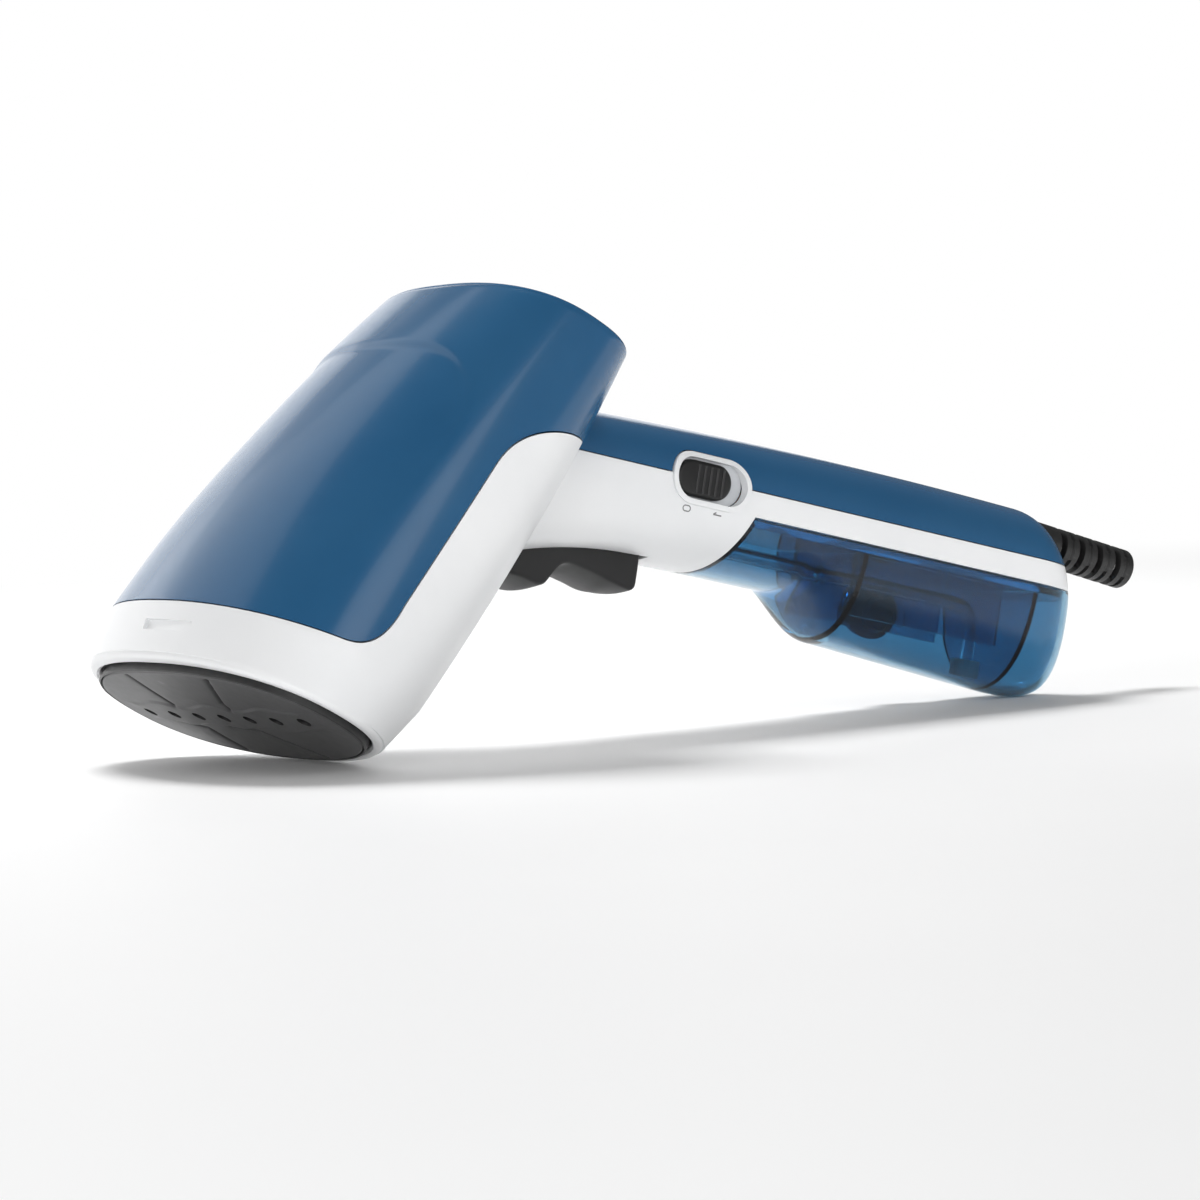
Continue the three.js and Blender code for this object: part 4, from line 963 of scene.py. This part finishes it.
def metal(name, dark, light, roughness, grain=0.1, scale=700.0):
    """Bare metal with brushed or cast grain."""
    def build(tree, shader):
        tree.links.new(ramp(tree, noise(tree, 60, 5, 0.6), dark, light, 0.3, 0.7),
                       shader.inputs["Base Color"])
        tree.links.new(spread(tree, noise(tree, 500, 5, 0.6), roughness - 0.1, roughness + 0.12),
                       shader.inputs["Roughness"])
        bump(tree, shader, noise(tree, scale, 6, 0.65), grain, 0.0003)
        shader.inputs["Metallic"].default_value = 1.0
    return material(name, build)


def make_materials():
    looks = {
        "blue_plastic": plastic("blue_gloss", (0.012, 0.086, 0.200), (0.020, 0.104, 0.224), 0.23,
                                0.003, 0.2, 0.10),
        "white_plastic": plastic("white_satin", (0.80, 0.81, 0.82), (0.86, 0.865, 0.87), 0.34,
                                 0.01, 0.0, 0.15),
        # its last value, 0.005, is the reach of the painted shade in the plate's grooves and steam holes
        "sole_coating": plastic("sole_coating", (0.075, 0.075, 0.077), (0.10, 0.10, 0.102), 0.42,
                                0.06, 0.0, 0.3, 0.25, 1500.0, 0.005),
        "ring_plastic": plastic("ring_black", (0.006, 0.006, 0.0065), (0.010, 0.010, 0.0105), 0.4),
        "trigger_plastic": plastic("trigger_black", (0.009, 0.009, 0.0095), (0.013, 0.013, 0.0135),
                                   0.5, 0.05, 0.0, 0.12),
        "black_plastic": plastic("black_satin", (0.007, 0.007, 0.0075), (0.011, 0.011, 0.0115), 0.42,
                                 0.04, 0.0, 0.15),
        "relief_rubber": plastic("relief_black", (0.006, 0.006, 0.0065), (0.012, 0.012, 0.012),
                                 0.45, 0.06, 0.0, 0.15),
        "grey_plastic": plastic("grey_satin", (0.60, 0.62, 0.65), (0.70, 0.71, 0.73), 0.4),
        "dark_plastic": plastic("dark_filled", (0.035, 0.035, 0.038), (0.055, 0.055, 0.06), 0.55,
                                0.1),
        "tank_plastic": clear_plastic("tank_clear", (0.16, 0.37, 0.53), (0.135, 0.34, 0.50)),
        "clear_tube": clear_plastic("tube_clear", (0.72, 0.82, 0.86), (0.66, 0.78, 0.84), 0.12),
        "cast_aluminium": metal("cast_aluminium", (0.42, 0.43, 0.44), (0.6, 0.6, 0.61), 0.5, 0.3),
        "steel": metal("plain_steel", (0.5, 0.5, 0.5), (0.64, 0.63, 0.62), 0.3, 0.08),
        "silicone": plastic("silicone_red", (0.36, 0.07, 0.03), (0.48, 0.11, 0.05), 0.6, 0.08),
        "board_laminate": plastic("board_green", (0.02, 0.11, 0.035), (0.035, 0.16, 0.06), 0.35,
                                  0.05, 0.2),
        "ink": plastic("digit_grey", (0.16, 0.16, 0.165), (0.22, 0.22, 0.225), 0.5),
    }
    return looks


def dress_cad_nodes(looks):
    """Every CAD node that is still shown gets its slot's procedural material."""
    slots = {part["node"]: part["material_slot"] for part in frame["record"]["subparts"]}
    for name, node in frame["nodes"].items():
        node.data.materials.clear()
        node.data.materials.append(looks[slots[name]])


# ------------------------------------------------------------------ floor and light
def make_floor():
    """A round pale floor that fades into the backdrop's white far from the object."""
    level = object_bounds()[0][2] - 0.00005
    count = 96
    verts = [(0, 0, level)]
    faces = []
    for ring, radius in enumerate((0.5, 1.0, 2.0, 4.0, 9.0)):
        for k in range(count):
            t = 2 * math.pi * k / count
            verts.append((radius * math.cos(t), radius * math.sin(t), level))
        for k in range(count):
            a, b = 1 + ring * count + k, 1 + ring * count + (k + 1) % count
            if ring == 0:
                faces.append((0, a, b))
            else:
                faces.append((a - count, a, b, b - count))
    mesh = bpy.data.meshes.new("floor")
    mesh.from_pydata(verts, [], faces)
    floor = bpy.data.objects.new("floor", mesh)
    bpy.context.scene.collection.objects.link(floor)

    def build(tree, shader):
        tree.links.new(ramp(tree, noise(tree, 3, 4), (0.90, 0.90, 0.90), (0.93, 0.93, 0.93),
                            0.3, 0.7), shader.inputs["Base Color"])
        shader.inputs["Roughness"].default_value = 0.55
        glow = tree.nodes.new("ShaderNodeEmission")
        glow.inputs["Strength"].default_value = 1.0
        where = tree.nodes.new("ShaderNodeNewGeometry")
        reach = tree.nodes.new("ShaderNodeVectorMath")
        reach.operation = "LENGTH"
        tree.links.new(where.outputs["Position"], reach.inputs[0])
        fade = tree.nodes.new("ShaderNodeMapRange")
        fade.interpolation_type = "SMOOTHSTEP"
        fade.inputs["From Min"].default_value = FLOOR_FADE[0]
        fade.inputs["From Max"].default_value = FLOOR_FADE[1]
        tree.links.new(reach.outputs["Value"], fade.inputs["Value"])
        both = tree.nodes.new("ShaderNodeMixShader")
        tree.links.new(fade.outputs["Result"], both.inputs["Fac"])
        tree.links.new(shader.outputs[0], both.inputs[1])
        tree.links.new(glow.outputs[0], both.inputs[2])
        out = next(n for n in tree.nodes if n.type == "OUTPUT_MATERIAL")
        tree.links.new(both.outputs[0], out.inputs[0])
    mesh.materials.append(material("pale_floor", build))


def area_light(name, direction, distance, size, power, target=(0, 0, 0.05)):
    data = bpy.data.lights.new(name, "AREA")
    data.shape = "RECTANGLE"
    data.size, data.size_y = size
    data.energy = power
    light = bpy.data.objects.new(name, data)
    toward = Vector(direction).normalized()
    light.location = Vector(target) + toward * distance
    light.rotation_mode = "QUATERNION"
    light.rotation_quaternion = toward.to_track_quat("Z", "Y")
    bpy.context.scene.collection.objects.link(light)
    return light


def make_light():
    world = bpy.data.worlds.new("studio")
    world.use_nodes = True
    bpy.context.scene.world = world
    tree = world.node_tree
    tree.nodes.clear()
    out = tree.nodes.new("ShaderNodeOutputWorld")
    seen = tree.nodes.new("ShaderNodeBackground")
    seen.inputs["Color"].default_value = (1, 1, 1, 1)
    seen.inputs["Strength"].default_value = 1.0
    lit = tree.nodes.new("ShaderNodeBackground")
    lit.inputs["Color"].default_value = (1, 1, 1, 1)
    lit.inputs["Strength"].default_value = 0.14
    ray = tree.nodes.new("ShaderNodeLightPath")
    both = tree.nodes.new("ShaderNodeMixShader")
    bright = tree.nodes.new("ShaderNodeMath")
    bright.operation = "MAXIMUM"
    tree.links.new(ray.outputs["Is Camera Ray"], bright.inputs[0])
    tree.links.new(ray.outputs["Is Transmission Ray"], bright.inputs[1])
    tree.links.new(bright.outputs[0], both.inputs["Fac"])
    tree.links.new(lit.outputs[0], both.inputs[1])
    tree.links.new(seen.outputs[0], both.inputs[2])
    tree.links.new(both.outputs[0], out.inputs["Surface"])
    key = area_light("key_above", (0.1, 0.55, 0.85), 1.5, (0.5, 0.5), 22)
    key.visible_glossy = False
    area_light("sheen_behind", (0.15, 0.94, 0.2), 2.0, (2.6, 1.2), 13)
    area_light("sheen_above", (-0.42, 0.68, 0.55), 2.0, (2.0, 1.4), 6)
    fill = area_light("fill_right", (0.48, -0.82, 0.18), 1.5, (1.6, 1.4), 9.5)
    fill.visible_glossy = False
    area_light("strip_right", (0.0, -0.9, 0.42), 1.5, (0.7, 0.9), 3)
    area_light("fill_left", (-0.8, -0.55, 0.08), 1.6, (1.2, 1.0), 15)
    bpy.context.scene.view_settings.view_transform = "Standard"


# ------------------------------------------------------------------ everything
def main():
    make_camera()
    looks = make_materials()
    dress_cad_nodes(looks)
    make_head(looks["blue_plastic"], looks["white_plastic"])
    make_soleplate(looks["sole_coating"], looks["ring_plastic"])
    make_handle(looks["blue_plastic"], looks["white_plastic"])
    make_switch(looks["black_plastic"], looks["grey_plastic"], looks["ink"])
    make_trigger(looks["trigger_plastic"])
    make_relief(looks["relief_rubber"])
    make_tank(looks["tank_plastic"], looks["clear_tube"], looks["blue_plastic"])
    make_floor()
    make_light()


main()
